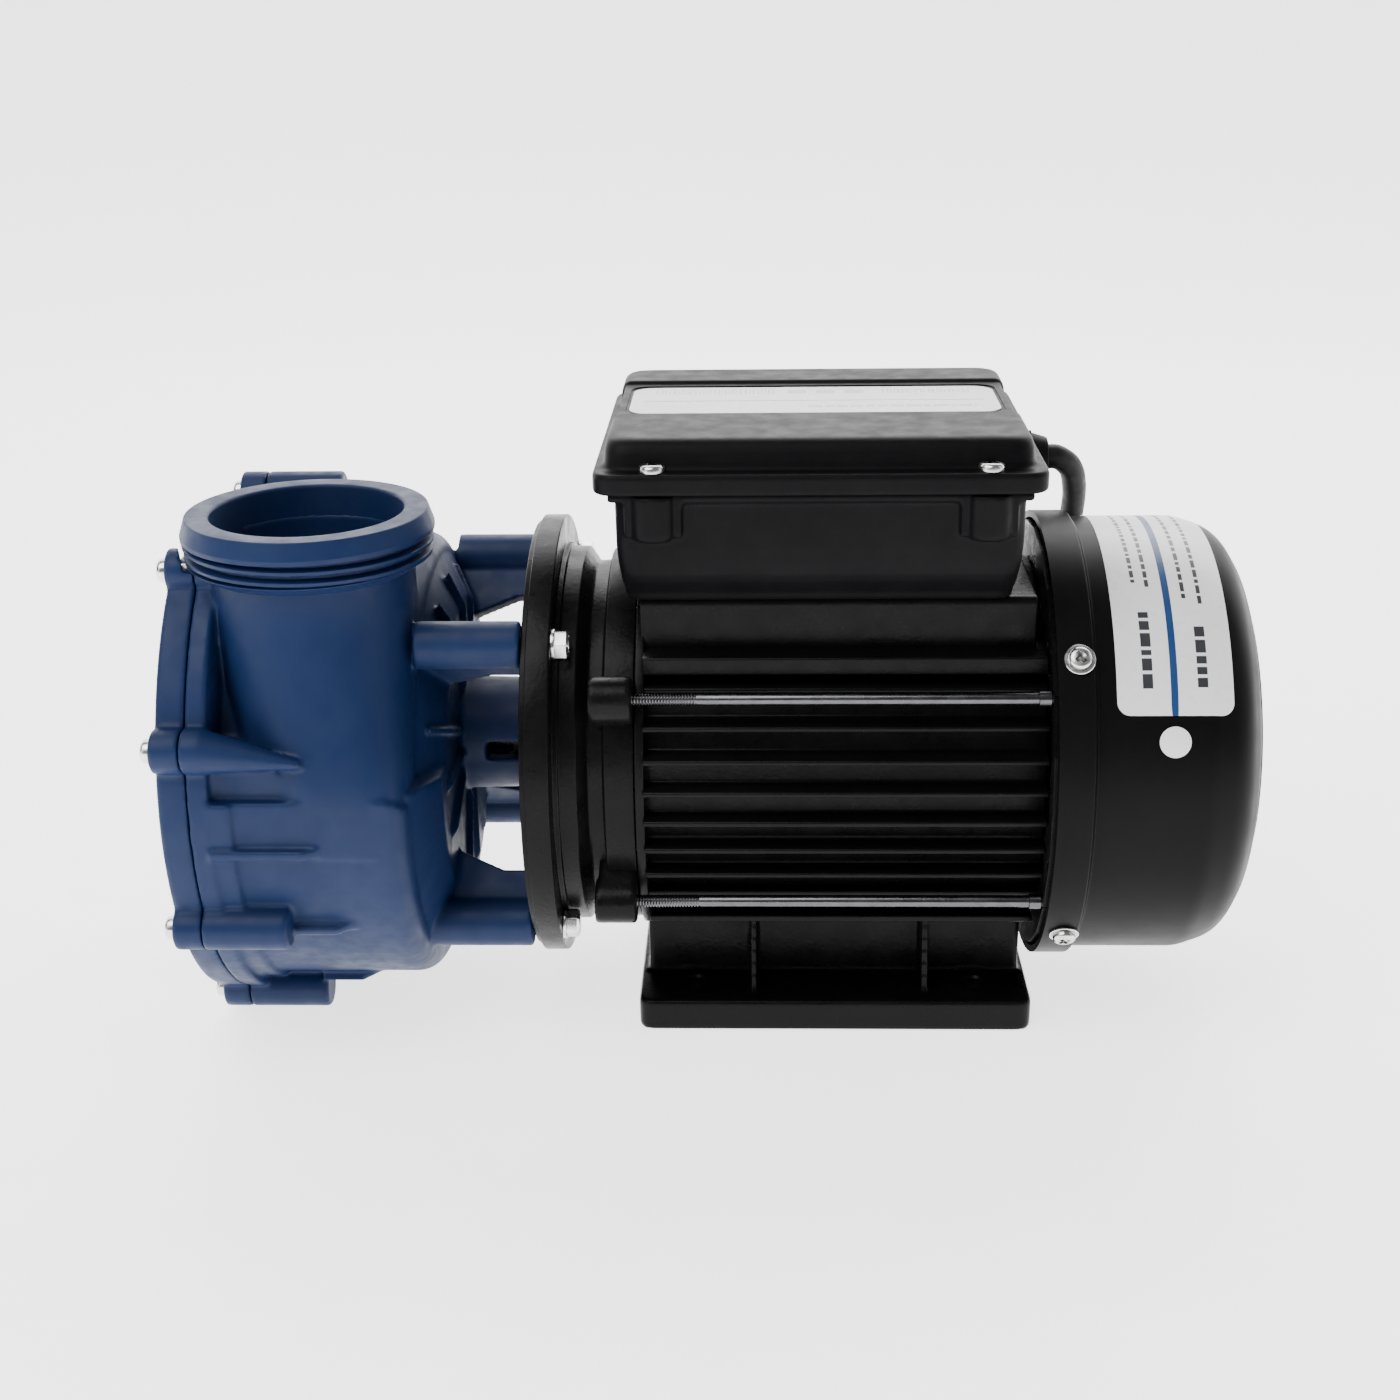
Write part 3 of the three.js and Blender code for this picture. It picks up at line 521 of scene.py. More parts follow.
# Ribs behind the bosses, as (angle, front x, back x).
RIBS = [(94, RIM_BACK, -147), (115, -165, -141), (150, -165, -142), (-60, -180, -150), (-90, -180, -148),
        (-125, -178, -146)]
SCROLL_START, SCROLL_GROWTH, SHELF, DRUM_RADIUS = 64.0, 17.5, 10.0, 66.0
BOSS_CIRCLE, BOSS_RADIUS = 83.7, 6.7
BOSS_ANGLES = [33, 72, 113, 156, -156, -113, -72, -33]
BOSS_ENDS = {33: -186.5, 72: -184.2}
PORT_X, PORT_Y, PORT_TOP, PORT_BORE, PORT_TUBE = -159.7, -33.6, 85.5, 28.9, 31.3
THREAD_RADIUS, SUCTION_BORE, SUCTION_FACE = 37.9, 27.3, -207.8
FLANGE_FRONT, FLANGE_RADIUS = -95.2, 71.5
POST_ANGLES, POST_CIRCLE = [45, 135, -135, -45], 66.0
BACK_RIB_ANGLES = [0, 90, 180, 270, 22, 68, 112, 158, 202, 248, 292, 338]
GAP = 0.3


def polar(radius, degrees):
    """A point on the shaft line's circle, as (y, z): degrees from straight up, positive towards -Y."""
    angle = math.radians(degrees)
    return (-radius * math.sin(angle), SHAFT + radius * math.cos(angle))


def arc(radius_at, start, end, step=2.0):
    count = max(1, round(abs(end - start) / step))
    angles = [start + (end - start) * k / count for k in range(count + 1)]
    return [polar(radius_at(a), a) for a in angles]


def scroll_radius(angle):
    return SCROLL_START + SCROLL_GROWTH * (abs(angle) / 270) ** 0.75


def scroll_outline(inwards=0.0, shelf=SHELF):
    end = -270 - math.degrees(math.asin(shelf / (scroll_radius(276) - inwards)))
    scroll = arc(lambda a: scroll_radius(a) - inwards, 0, end, 2.5)
    drum_start = 90 - math.degrees(math.asin(shelf / (DRUM_RADIUS - inwards)))
    drum = arc(lambda a: SCROLL_START - inwards + (DRUM_RADIUS - SCROLL_START) * a / 90, drum_start, 3, 3)
    return scroll + drum


def rim_outline(radius=RIM_RADIUS):
    start = math.degrees(math.acos(RIM_FLAT / radius))
    return arc(lambda a: radius, start, 360 - start, 2.5)


def rod(name, low, high, radius, angle=None, out=0.0, segments=40, rounding=(0.0, 0.0), centre=None):
    """A round bar along X, at a radius and angle round the shaft."""
    y, z = centre or (polar(out, angle) if angle is not None else (0.0, SHAFT))
    outline = [(y + u, z + v) for u, v in circle(radius, segments)]
    return prism(name, outline, low, high, "x", rounding)


def upright(name, x, y, low, high, radius, segments=48, rounding=(0.0, 0.0)):
    outline = [(x + u, y + v) for u, v in circle(radius, segments)]
    return prism(name, outline, low, high, "z", rounding)


def block(name, x, y, z, rounding=0.0):
    outline = [(x[0], y[0]), (x[1], y[0]), (x[1], y[1]), (x[0], y[1])]
    if rounding:
        outline = fillet(outline, rounding)
    return prism(name, outline, z[0], z[1], "z", (rounding, rounding))


def around_shaft(obj, degrees):
    """Turns a piece drawn straight above the shaft round to its angle."""
    to_shaft = Matrix.Translation((0, 0, SHAFT))
    turn = Matrix.Rotation(math.radians(degrees), 4, "X")
    return moved(obj, to_shaft @ turn @ to_shaft.inverted())


def plate_at(name, outline, thickness, degrees):
    """A plate in the plane through the shaft at an angle; outline is (x, radius)."""
    rings = [[(x, side * thickness / 2, SHAFT + r) for x, r in outline] for side in (-1, 1)]
    return around_shaft(loft(name, rings), degrees)


# Discharge tube: (height over the shaft, centre x, centre y, left half width, right half width, half depth,
# power of the right half's superellipse). It is round at the top and flush with the scroll at the bottom.
TUBE_SECTIONS = [
    (-8, -153.0, -46.1, 24.0, 25.4, 35.2, 7.0), (4, -153.0, -46.4, 25.0, 25.4, 35.5, 7.0),
    (14, -153.8, -45.8, 27.0, 26.2, 35.4, 5.0), (28, -155.9, -42.6, 28.4, 28.1, 34.0, 3.2),
    (44, -157.8, -38.1, 30.0, 29.5, 33.2, 2.4), (60, PORT_X, PORT_Y - 1.2, 31.0, 31.4, 32.0, 2.0),
    (76, PORT_X, PORT_Y, PORT_TUBE, PORT_TUBE, PORT_TUBE, 2.0),
]
# The tube's bore: (height over the shaft, centre x, centre y, radius).
TUBE_BORE = [(20, -154.0, -36.0, 23.0), (44, -157.4, -34.6, 26.4), (62, PORT_X, PORT_Y, 28.4),
             (PORT_TOP + 1, PORT_X, PORT_Y, PORT_BORE)]


def tube_section(height):
    heights = [row[0] for row in TUBE_SECTIONS]
    return [float(np.interp(height, heights, [row[k] for row in TUBE_SECTIONS])) for k in range(1, 7)]


def discharge_tube():
    rings = []
    for height in np.linspace(-8, 76, 43):
        near = [tube_section(height + d) for d in (-5, -2.5, 0, 2.5, 5)]
        cx, cy, left, right, deep, power = [float(np.mean([row[k] for row in near])) for k in range(6)]
        ring = []
        for u, v in circle(1, 96):
            share = 2 / power if u > 0 else 1.0
            width = right if u > 0 else left
            across, along = [math.copysign(abs(w) ** share, w) for w in (u, v)]
            ring.append((cx + width * across, cy + deep * along, SHAFT + height))
        rings.append(ring)
    return loft("tube", rings)


def tube_bore():
    rings = [[(x + u, y + v, SHAFT + z) for u, v in circle(r, 96)] for z, x, y, r in TUBE_BORE]
    return loft("bore", rings)


def boss(angle, end, taper=0.0):
    made = rod("boss", SEAM + GAP, end, BOSS_RADIUS, angle, BOSS_CIRCLE, rounding=(0, 0.9))
    if not taper:
        return made
    y, z = polar(BOSS_CIRCLE, angle)
    rings = []
    for t in np.linspace(0, 1, 7):
        radius = BOSS_RADIUS * (1 - 0.8 * t)
        drop = 0.8 * (BOSS_RADIUS - radius)
        along = end - 1 + (taper + 1) * t
        rings.append([(along, y + u, z - drop + v) for u, v in circle(radius, 24)])
    return union(made, loft("taper", rings))


def sloping_back():
    """The cone that joins the end of the rounded side to the back plate."""
    outline = scroll_outline()
    rings = []
    for x, share in ((SIDE_END - 4, 0.9), (SIDE_END - 0.2, 0.9), (VOLUTE_BACK, 0.68)):
        rings.append([(x, y * share, SHAFT + (z - SHAFT) * share) for y, z in outline])
    return loft("sloping_back", rings)


def volute_body():
    seam = SEAM + GAP
    body = prism("volute_casing_skin", scroll_outline(), seam, SIDE_END, "x", (0, 7.0), 8)
    adds = [prism("rim", rim_outline(), seam, RIM_BACK, "x", (0, 0.8)), discharge_tube(), sloping_back()]
    adds.append(prism("step", scroll_outline(-1.6), RIM_BACK - 1, -178.4, "x", (0, 0.8)))
    ramp = [(-186, SHAFT + 7), (-155, SHAFT + 7), (-158, SHAFT + 11), (-168, SHAFT + 22), (-186, SHAFT + 24)]
    adds.append(loft("ramp", [[(x, y, z) for x, z in ramp] for y in (-78.2, -50)]))
    adds += [boss(a, BOSS_ENDS.get(a, -165), 27 if a == 72 else 0) for a in BOSS_ANGLES]
    for angle, low, high in RIBS:
        crest = scroll_radius(360 - angle) + 3.2 if angle > 0 else scroll_radius(-angle) + 2.2
        outline = [(low - 1, 62), (low - 1, crest), (high - 11, crest), (high, crest - 5.5), (high, 62)]
        adds.append(plate_at("rib", outline, 3.0, angle))
    meet, root = FLANGE_FRONT - GAP, VOLUTE_BACK - 3
    adds.append(turned("sleeve", [(root, 12), (meet, 12), (meet, 18), (root, 18.6)]))
    web = [(-126, POST_CIRCLE), (-126, 41), (-120, 42.5), (-106, 49), (meet, 49), (meet, POST_CIRCLE)]
    for angle in POST_ANGLES:
        adds.append(rod("post", -127, meet, 7.25, angle, POST_CIRCLE))
        adds.append(plate_at("web", web, 5, angle))
    for angle in BACK_RIB_ANGLES:
        adds.append(plate_at("back_rib", [(-124, 20), (-124, 56), (-118.6, 44), (-118.6, 20)], 2, angle))
    union(body, *adds)
    chamber = prism("chamber", scroll_outline(WALL, 2.0), RIM_BACK - 2, SIDE_END - WALL, "x")
    mouth = rod("mouth", seam - 12, RIM_BACK - 1.9, 66, segments=96)
    flat = block("flat", (-230, seam), (-95, 95), (SHAFT - 95, SHAFT + RIM_FLAT))
    clear = block("clear", (-192, RIM_BACK + 0.4), (-30, 30), (SHAFT + RIM_FLAT, SHAFT + 90))
    window = block("window", (-112, -98), (-30, 30), (SHAFT - 3, SHAFT + 3))
    shaft_hole = rod("shaft_hole", -130, -90, 9, segments=48)
    seal_room = rod("seal_room", SIDE_END - WALL - 1, VOLUTE_BACK - 1.7, 15.5, segments=48)
    cut(body, chamber, mouth, tube_bore(), flat, clear, window, shaft_hole, seal_room)
    return cast(body, 0.75, 4, 0.4)


def thread_profile(depth, crest_share):
    """Radius below the crest at each share of a pitch: a flat crest, a flank, a flat root and a flank."""
    flank = (1 - 2 * crest_share) / 2 + 0.02

    def height(share):
        share %= 1.0
        if share < crest_share:
            return 0.0
        if share < crest_share + flank:
            return depth * (share - crest_share) / flank
        if share < 1 - flank:
            return depth
        return depth * (1 - share) / flank

    return height


def discharge_collar():
    """The threaded collar: a plain lip, two turns of thread and a cone down to the tube."""
    segments, bottom = 144, 71.6
    cone = fillet([(67.5, 30.6), (bottom, 36.9), (PORT_TOP, 36.9)], [3, 0.3, 0], 4, False)[:-1]
    rings = []
    pitch, low, high = 3.4, bottom + 0.2, 78.6
    dip = thread_profile(2.3, 0.3)

    def ring(z, radius_at):
        unit = circle(1, segments)
        radii = [radius_at(k) for k in range(segments)]
        return [(PORT_X + r * u, PORT_Y + r * v, SHAFT + z) for r, (u, v) in zip(radii, unit)]

    for z, r in cone:
        rings.append(ring(z, lambda k, r=r: r))
    for z in np.linspace(low, high, 46):
        fade = min(1, (z - low) / 0.5)

        def thread(k, z=z, fade=fade):
            crest = 36.9 + 0.8 * (z - low) / (high - low)
            return crest - dip((z - low) / pitch + k / segments) * fade

        rings.append(ring(z, thread))
    lip = fillet([(78.6, 36.0), (78.9, THREAD_RADIUS), (80.4, THREAD_RADIUS), (PORT_TOP, 36.2),
                  (PORT_TOP, PORT_BORE), (67.5, PORT_BORE)], [0, 0.5, 0.7, 0.6, 1.2, 0], 5, False)
    for z, r in lip[1:]:
        rings.append(ring(z, lambda k, r=r: r))
    return loft("discharge_collar", rings, wrap=True)


def front_cover():
    body = prism("suction_cover", rim_outline(), COVER_FACE, SEAM, "x", (1.6, 0.5))
    lugs = [rod("lug", COVER_FACE, SEAM, BOSS_RADIUS, a, BOSS_CIRCLE, rounding=(1.0, 0)) for a in BOSS_ANGLES]
    face = fillet([(COVER_FACE - 1, 37), (SUCTION_FACE, 37), (SUCTION_FACE, 20)], [0, 1, 0], 4, False)
    collar = turned("collar", [(SEAM - 2, 20), (SEAM - 2, 37), *face])
    spigot = turned("spigot", [(SEAM - 1, 50), (SEAM + 3.4, 50), (SEAM + 3.4, 62), (SEAM - 1, 62)])
    inside, outside = SEAM + 0.02, SEAM + 5
    spigot_room = turned("spigot_room", [(inside, 40), (outside, 40), (outside, 57), (inside, 57)])
    proud, sunk = COVER_FACE - 1.6, COVER_FACE + 1
    stiffener = [(proud, 36), (proud, 72), (sunk, 78), (sunk, 36)]
    stiffeners = [plate_at("stiffener", stiffener, 2.2, a + 12) for a in range(0, 360, 30)]
    hoop = turned("hoop", [(proud, 70), (proud, 72.2), (sunk, 72.6), (sunk, 69.6)])
    trim = upright("trim", PORT_X, PORT_Y, SHAFT + RIM_FLAT, SHAFT + PORT_TOP + 5, THREAD_RADIUS + 0.6, 72)
    bore = rod("suction_bore", SUCTION_FACE - 1, -150, SUCTION_BORE, segments=96)
    union(body, *lugs, collar, spigot, hoop, *stiffeners)
    cut(body, trim, bore, spigot_room)
    return cast(body, 0.8, 3, 0.4)


def cross_slot(x, size, depth):
    """A Phillips recess, drawn as two crossed wedges into a head that faces -X."""
    tools = []
    outline = [(-0.7, -size), (0.7, -size), (0.7, size), (-0.7, size)]
    for turn in (0.4, 0.4 + math.pi / 2):
        rings = []
        cosine, sine = math.cos(turn), math.sin(turn)
        for level, share in ((x - 1, 1.0), (x + depth * 0.4, 0.8), (x + depth, 0.25)):
            rings.append([(level, u * cosine - v * share * sine, u * sine + v * share * cosine)
                          for u, v in outline])
        tools.append(loft("slot", rings))
    return tools


def pan_screw(name, washer, head, height, shank):
    """A pan-head screw with a cross recess, on the X axis: the head faces -X and sits on x = 0."""
    profile = [(shank, 0.05), (shank, 1.9), (0, 1.9)]
    if washer:
        profile += [(0, washer), (-0.15, washer + 0.1), (-0.65, washer + 0.1), (-0.8, washer - 0.05)]
        profile.append((-0.8, head))
    base = -0.8 if washer else 0
    profile.append((base, head))
    for t in np.linspace(0.15, 1, 8):
        angle = t * math.pi / 2
        reach = head * math.cos(angle) ** 0.45 if t < 1 else 0.02
        profile.append((base - height * 0.35 - height * 0.65 * math.sin(angle), reach))
    made = turned(name, profile, 48, wrap=False, centre=(0.0, 0.0))
    return cut(made, *cross_slot(base - height, head * 0.62, 1.9))


volute = volute_body()
collar = discharge_collar()
cover = front_cover()
place(volute, "housing", BLUE, ["volute_casing"], sharp=50)
place(collar, "housing", BLUE, ["volute_casing"], sharp=40)
place(cover, "housing", BLUE, ["front_cover"], sharp=50)

for index, angle in enumerate(BOSS_ANGLES):
    screw = pan_screw(f"cover_screw_{index + 1}", 0, 3.7, 3.0, 9.0)
    seat = Matrix.Translation((COVER_FACE - 0.35, *polar(BOSS_CIRCLE, angle)))
    around = seat @ Matrix.Rotation(index * 0.8, 4, "X")
    place(moved(screw, around), "housing", SCREW, [f"cover_bolt_{index + 1}"])

# ---- motor ----

BELL_RADIUS, BELL_BACK = 60.5, -61.7
FRAME_FRONT, FRAME_BACK, FRAME_RADIUS, FRAME_BORE = -61.4, 62.2, 57.5, 52.0
FIN_TIP, FIN_PITCH = 63.9, 9.6
ROD_CIRCLE, ROD_RADIUS, ROD_ANGLES = 66.6, 2.0, [60, 120, -120, -60]
COVER_RIM, COVER_END, COVER_SCREW_ANGLES = 63.7, 127.6, [51.5, 128.5, -128.5, -51.5]
FOOT = (126.0, 95.0, 10.5)
FOOT_HOLES = [(-45, -35), (-45, 35), (45, -35), (45, 35)]


def profile_x(corners):
    """Corners given as (x, radius, rounding) become a rounded closed profile."""
    return fillet([(x, r) for x, r, _ in corners], [c for _, _, c in corners], 4)


def rod_lug(angle):
    parts = [rod("lug", -74.6, BELL_BACK, 6.9, 0, ROD_CIRCLE, segments=32, rounding=(0.8, 0.4)),
             block("lug_root", (-73.6, BELL_BACK), (-6.9, 6.9), (SHAFT + 52, SHAFT + ROD_CIRCLE))]
    lug = cast(union(*parts), 0.8, 3)
    cut(lug, rod("rod_hole", -72, -60, 2.9, 0, ROD_CIRCLE, segments=32))
    return around_shaft(lug, angle)


def end_bell():
    shell = turned("end_bell", profile_x([
        (FLANGE_FRONT, 9.5, 0.3), (FLANGE_FRONT, 69.6, 0.5), (-93.5, 69.6, 0.3), (-93.5, FLANGE_RADIUS, 0.5),
        (-86.2, FLANGE_RADIUS, 0.7), (-86.2, 62.4, 0.5), (-84.4, 62.4, 0.4), (-84.4, 61.2, 0.4),
        (-79.2, 61.2, 0.8), (-76.0, 56.4, 1.5), (-71.0, 56.8, 1.0), (-71.0, BELL_RADIUS, 0.8),
        (BELL_BACK, BELL_RADIUS, 0.4), (BELL_BACK, 53, 0), (-83.5, 53, 2), (-83.5, 24, 2),
        (-74.4, 22.5, 0.5), (-74.4, 17.8, 0.3), (-86.2, 17.8, 0.3), (-86.2, 9.5, 0.3),
    ]), 160)
    union(shell, *[rod_lug(a) for a in ROD_ANGLES])
    holes = [rod("bolt_hole", -97, -80, 2.9, a, POST_CIRCLE, segments=32) for a in POST_ANGLES]
    return cut(shell, *holes)


def hex_bolt(name):
    """A hexagon head with a chamfered top on a washer, for the flange: drawn straight above the shaft."""
    washer = rod("washer", -86.2, -85.0, 4.9, 0, POST_CIRCLE, 40, (0.2, 0.25))
    outline = circle(4.6, 6)
    y, z = polar(POST_CIRCLE, 0)
    rings = []
    for x, share in ((-85.2, 1.0), (-81.6, 1.0), (-80.9, 0.86)):
        rings.append([(x, y + u * share, z + v * share) for u, v in fillet(outline, 0.5, 3)])
    head = loft("head", rings)
    top = rod("top", -81.2, -80.7, 3.0, 0, POST_CIRCLE, 32, (0, 0.2))
    shank = rod("shank", -105, -85.2, 2.2, 0, POST_CIRCLE, 24)
    return joined(name, [union(washer, head, top, shank)])


# What stands out of the drum's side: (height over the shaft, reach, half thickness at root and tip).
LEDGES = [(40.9, 50.5, 2.7, 2.7), (33.5, 51.5, 1.2, 0.8)]
for level in [2.5 * FIN_PITCH - FIN_PITCH * k for k in range(6)]:
    LEDGES.append((level, math.sqrt(FIN_TIP ** 2 - level ** 2), 1.35, 0.8))
LEDGES += [(-34.0, 51.0, 1.2, 0.8), (-47.6, 42.0, 1.6, 1.1)]


def frame_outline():
    """The frame's cross-section: the drum with its fins, ledges and rounded roots, as (y, z) points."""
    side, radii = [(0.0, FRAME_RADIUS)], [0.0]

    def follow_drum(start, end, steps):
        for k in range(1, steps):
            angle = math.radians(start + (end - start) * k / steps)
            side.append((FRAME_RADIUS * math.sin(angle), FRAME_RADIUS * math.cos(angle)))
            radii.append(0.0)

    def on_drum(z):
        return (math.sqrt(FRAME_RADIUS ** 2 - z * z), z)

    last = 0.0
    for level, reach, root, tip in LEDGES:
        start = math.degrees(math.acos((level + root) / FRAME_RADIUS))
        follow_drum(last, start, max(1, int((start - last) / 3)))
        side += [on_drum(level + root), (reach, level + tip), (reach, level - tip), on_drum(level - root)]
        radii += [1.4, min(0.75, tip * 0.9), min(0.75, tip * 0.9), 1.4]
        last = math.degrees(math.acos((level - root) / FRAME_RADIUS))
    follow_drum(last, 180, 12)
    side.append((0.0, -FRAME_RADIUS))
    radii.append(0.0)
    outline = side + [(-y, z) for y, z in side[-2:0:-1]]
    return [(y, z + SHAFT) for y, z in fillet(outline, radii + radii[-2:0:-1], 4)]


def foot_casting():
    hx, hy = FOOT[0] / 2, FOOT[1] / 2
    corners = fillet([(-hx, -hy), (hx, -hy), (hx, hy), (-hx, hy)], 5, 8)
    plate = prism("plate", corners, 0, FOOT[2], "z", (0.4, 1.0))
    pedestal = block("pedestal", (-60.5, 60.5), (-27, 27), (1, 46))
    ribs = []
    for x in (-26, 29):
        outline = [(-42, FOOT[2] - 0.5), (42, FOOT[2] - 0.5), (36, 40), (-36, 40)]
        ribs.append(prism("gusset", outline, x - 1.1, x + 1.1))
    pads = [upright("pad", x, y, 2, FOOT[2] + 0.5, 8.2, 40, (0, 0.5)) for x, y in FOOT_HOLES]
    foot = cast(union(plate, pedestal, *ribs, *pads), 0.8, 4, 0.6)
    above = FOOT[2] + 1.5
    profile = [(-1, 0.05), (-1, 3.75), (FOOT[2] - 0.3, 3.75), (above, 5.2), (above, 0.05)]
    holes = [turned("hole", profile, 40, wrap=False, centre=at, axis="z") for at in FOOT_HOLES]
    return cut(foot, *holes)


def motor_frame():
    body = prism("finned_frame", frame_outline(), -59.0, FRAME_BACK, "x", (0.5, 0.6), 3)
    front = rod("front_ring", FRAME_FRONT, -58.6, 62.4, segments=160, rounding=(0.5, 0.5))
    low, high = SHAFT + 38, SHAFT + 59.2
    outline = fillet([(-41, low), (-41, high), (41, high), (41, low)], [0, 2.5, 2.5, 0])
    saddle = prism("saddle", outline, -60, 59.5, "x", (0.8, 0.8))
    union(body, front, saddle, foot_casting())
    bore = rod("frame_bore", FRAME_FRONT - 1, FRAME_BACK + 1, FRAME_BORE, segments=120)
    return cut(body, bore)


def tie_rod(name):
    """A bar drawn straight above the shaft: a rolled thread at its front, a shoulder at its back."""
    pitch, depth = 0.9, 0.36
    y, z = polar(ROD_CIRCLE, 0)
    unit = circle(1, 24)
    rings = []
    for x in np.arange(-69, -42.9, pitch / 6):
        ring = []
        for k, (u, v) in enumerate(unit):
            share = (x / pitch + k / len(unit)) % 1.0
            radius = ROD_RADIUS - depth * abs(2 * share - 1)
            ring.append((x, y + radius * u, z + radius * v))
        rings.append(ring)
    bar = ROD_RADIUS - 0.15
    for x, radius in ((-42.6, 1.7), (-42, bar), (58.4, bar), (58.6, 2.3), (62, 2.4), (62.3, 1.7), (67, 1.7)):
        rings.append([(x, y + radius * u, z + radius * v) for u, v in unit])
    return loft(name, rings)


# The fan cover's outside, as (x, radius) points.
COVER_OUTER = fillet([(COVER_RIM, 72.1), (74.2, 72.1), (75.2, 70), (109, 70), (120.5, 66.2), (126, 57),
                      (COVER_END, 47), (COVER_END, 0.02)], [0.3, 0.8, 0.8, 14, 14, 12, 10, 0], 7, False)


def cover_shell():
    inner = fillet([(COVER_RIM, 69.9), (74.0, 69.9), (74.6, 67.9), (107, 67.7), (117, 64.4), (122.8, 57),
                    (125.4, 47), (125.4, 0.02)], [0.2, 0.3, 0.3, 12, 12, 10, 8, 0], 5, False)
    shell = turned("fan_cover_shell", [*inner[::-1], *COVER_OUTER], 192, wrap=False)
    tools = []
    for k in range(20):
        start, width = 19 if k % 2 else 27, 1.9
        outline = fillet([(-width, start), (width, start), (width, 46.5), (-width, 46.5)], 1.85, 6)
        slot = prism("slot", [(u, SHAFT + v) for u, v in outline], 121, 130)
        tools.append(around_shaft(slot, 360 * k / 20))
    for angle in COVER_SCREW_ANGLES:
        tools.append(around_shaft(upright("screw_hole", 70, 0, SHAFT + 60, SHAFT + 80, 1.95, 24), angle))
    cut(shell, *tools)
    ring = turned("grille_ring", [(126.6, 49.2), (127.55, 49.2), (127.55, 51.6), (126.4, 51.6)], 160)
    return union(shell, ring)


def standing(x, y, z, turn):
    """Stands a screw drawn along X upright on a point, head up, turned about its own axis."""
    upright_turn = Matrix.Rotation(math.radians(90), 4, "Y") @ Matrix.Rotation(turn, 4, "X")
    return Matrix.Translation((x, y, z)) @ upright_turn


def cover_screw(name, angle):
    """A pan screw with a washer, standing radially on the fan cover's rim."""
    screw = pan_screw(name, 4.5, 3.5, 2.2, 7.0)
    return around_shaft(moved(screw, standing(70, 0, SHAFT + 72.15, 0.5)), angle)


place(end_bell(), "housing", PAINT, ["front_end_bell"], sharp=30)
for index, angle in enumerate(POST_ANGLES):
    bolt = around_shaft(hex_bolt(f"flange_screw_{index + 1}"), angle)
    place(bolt, "housing", SCREW, [f"flange_bolt_{index + 1}"], sharp=25)
place(motor_frame(), "housing", PAINT, ["motor_frame"], sharp=30)
for index, angle in enumerate(ROD_ANGLES):
    long_rod = around_shaft(tie_rod(f"long_rod_{index + 1}"), angle)
    place(long_rod, "housing", ROD_STEEL, [f"tie_rod_{index + 1}"], sharp=40)
place(cover_shell(), "housing", ENAMEL, ["fan_cover"], sharp=30)
for index, angle in enumerate(COVER_SCREW_ANGLES):
    screw = cover_screw(f"rim_screw_{index + 1}", angle)
    place(screw, "housing", SCREW, [f"fan_cover_screw_{index + 1}"], sharp=30)

shaft = turned("pump_shaft", [
    (-151, 0.02), (-151, 5), (-150, 6), (-139.5, 6), (-139.5, 6.9), (-107, 6.9), (-106.6, 7.4), (-72.4, 7.4),
    (-72, 8.8), (59, 8.8), (59, 7.4), (77.6, 7.4), (78, 6), (103.6, 5.9), (104, 5.5), (104, 0.02),
], 64, wrap=False)
place(shaft, "rotor", STEEL, ["motor_shaft"], sharp=30)

# ---- terminal box ----

BOX = {"x0": -66.0, "x1": 53.6, "d": 52.0, "bottom": 144.6, "top": 179.7}
LID = {"x0": -72.0, "x1": 59.3, "d": 57.7, "bottom": 180.0, "top": 186.3, "crown": 194.8}
LID_SCREW_X, LID_SCREW_Y = (-54.5, 42.5), 52.5
LID_SCREWS = [(x, side * LID_SCREW_Y) for x in LID_SCREW_X for side in (-1, 1)]
RECESS, LID_LABEL_X, LID_LABEL_Y = (-14.5, 32.5), -6.75, 9.0
# The lid's raised part: (height, inset at the front, back, near side and far side, corner radius).
LID_RISE = [
    (LID["top"] - 1, 2.8, 3.2, 5.1, 3.8, 8), (LID["crown"] - 3.6, 3.3, 3.7, 6.6, 4.4, 8),
    (LID["crown"] - 1.6, 3.8, 4.2, 7.8, 4.9, 8), (LID["crown"] - 0.5, 4.6, 5.0, 9.2, 5.7, 7.5),
    (LID["crown"], 6.0, 6.4, 11.0, 7.2, 7),
]
# The box's taper: (height, inset at the front, at the back and at the sides).
BOX_TAPER = [
    (BOX["bottom"], 2.6, 2.2, 8.4), (145.4, 2.3, 2.0, 7.8), (147.6, 2.0, 1.8, 7.0), (149.2, 1.7, 1.5, 5.6),
    (151.6, 1.3, 1.2, 3.6), (154.4, 1.0, 0.9, 1.9), (158, 0.6, 0.5, 0.7), (163, 0.2, 0.2, 0.2),
    (BOX["top"], 0, 0, 0),
]


def rounded_rectangle(x0, x1, y0, y1, radius, steps=8):
    return fillet([(x0, y0), (x1, y0), (x1, y1), (x0, y1)], radius, steps)


def stack(name, rows):
    """Joins rounded rectangles at rising levels: rows of (z, x0, x1, half depth, corner radius)."""
    rings = [[(u, v, z) for u, v in rounded_rectangle(x0, x1, -d, d, r)] for z, x0, x1, d, r in rows]
    return loft(name, rings)


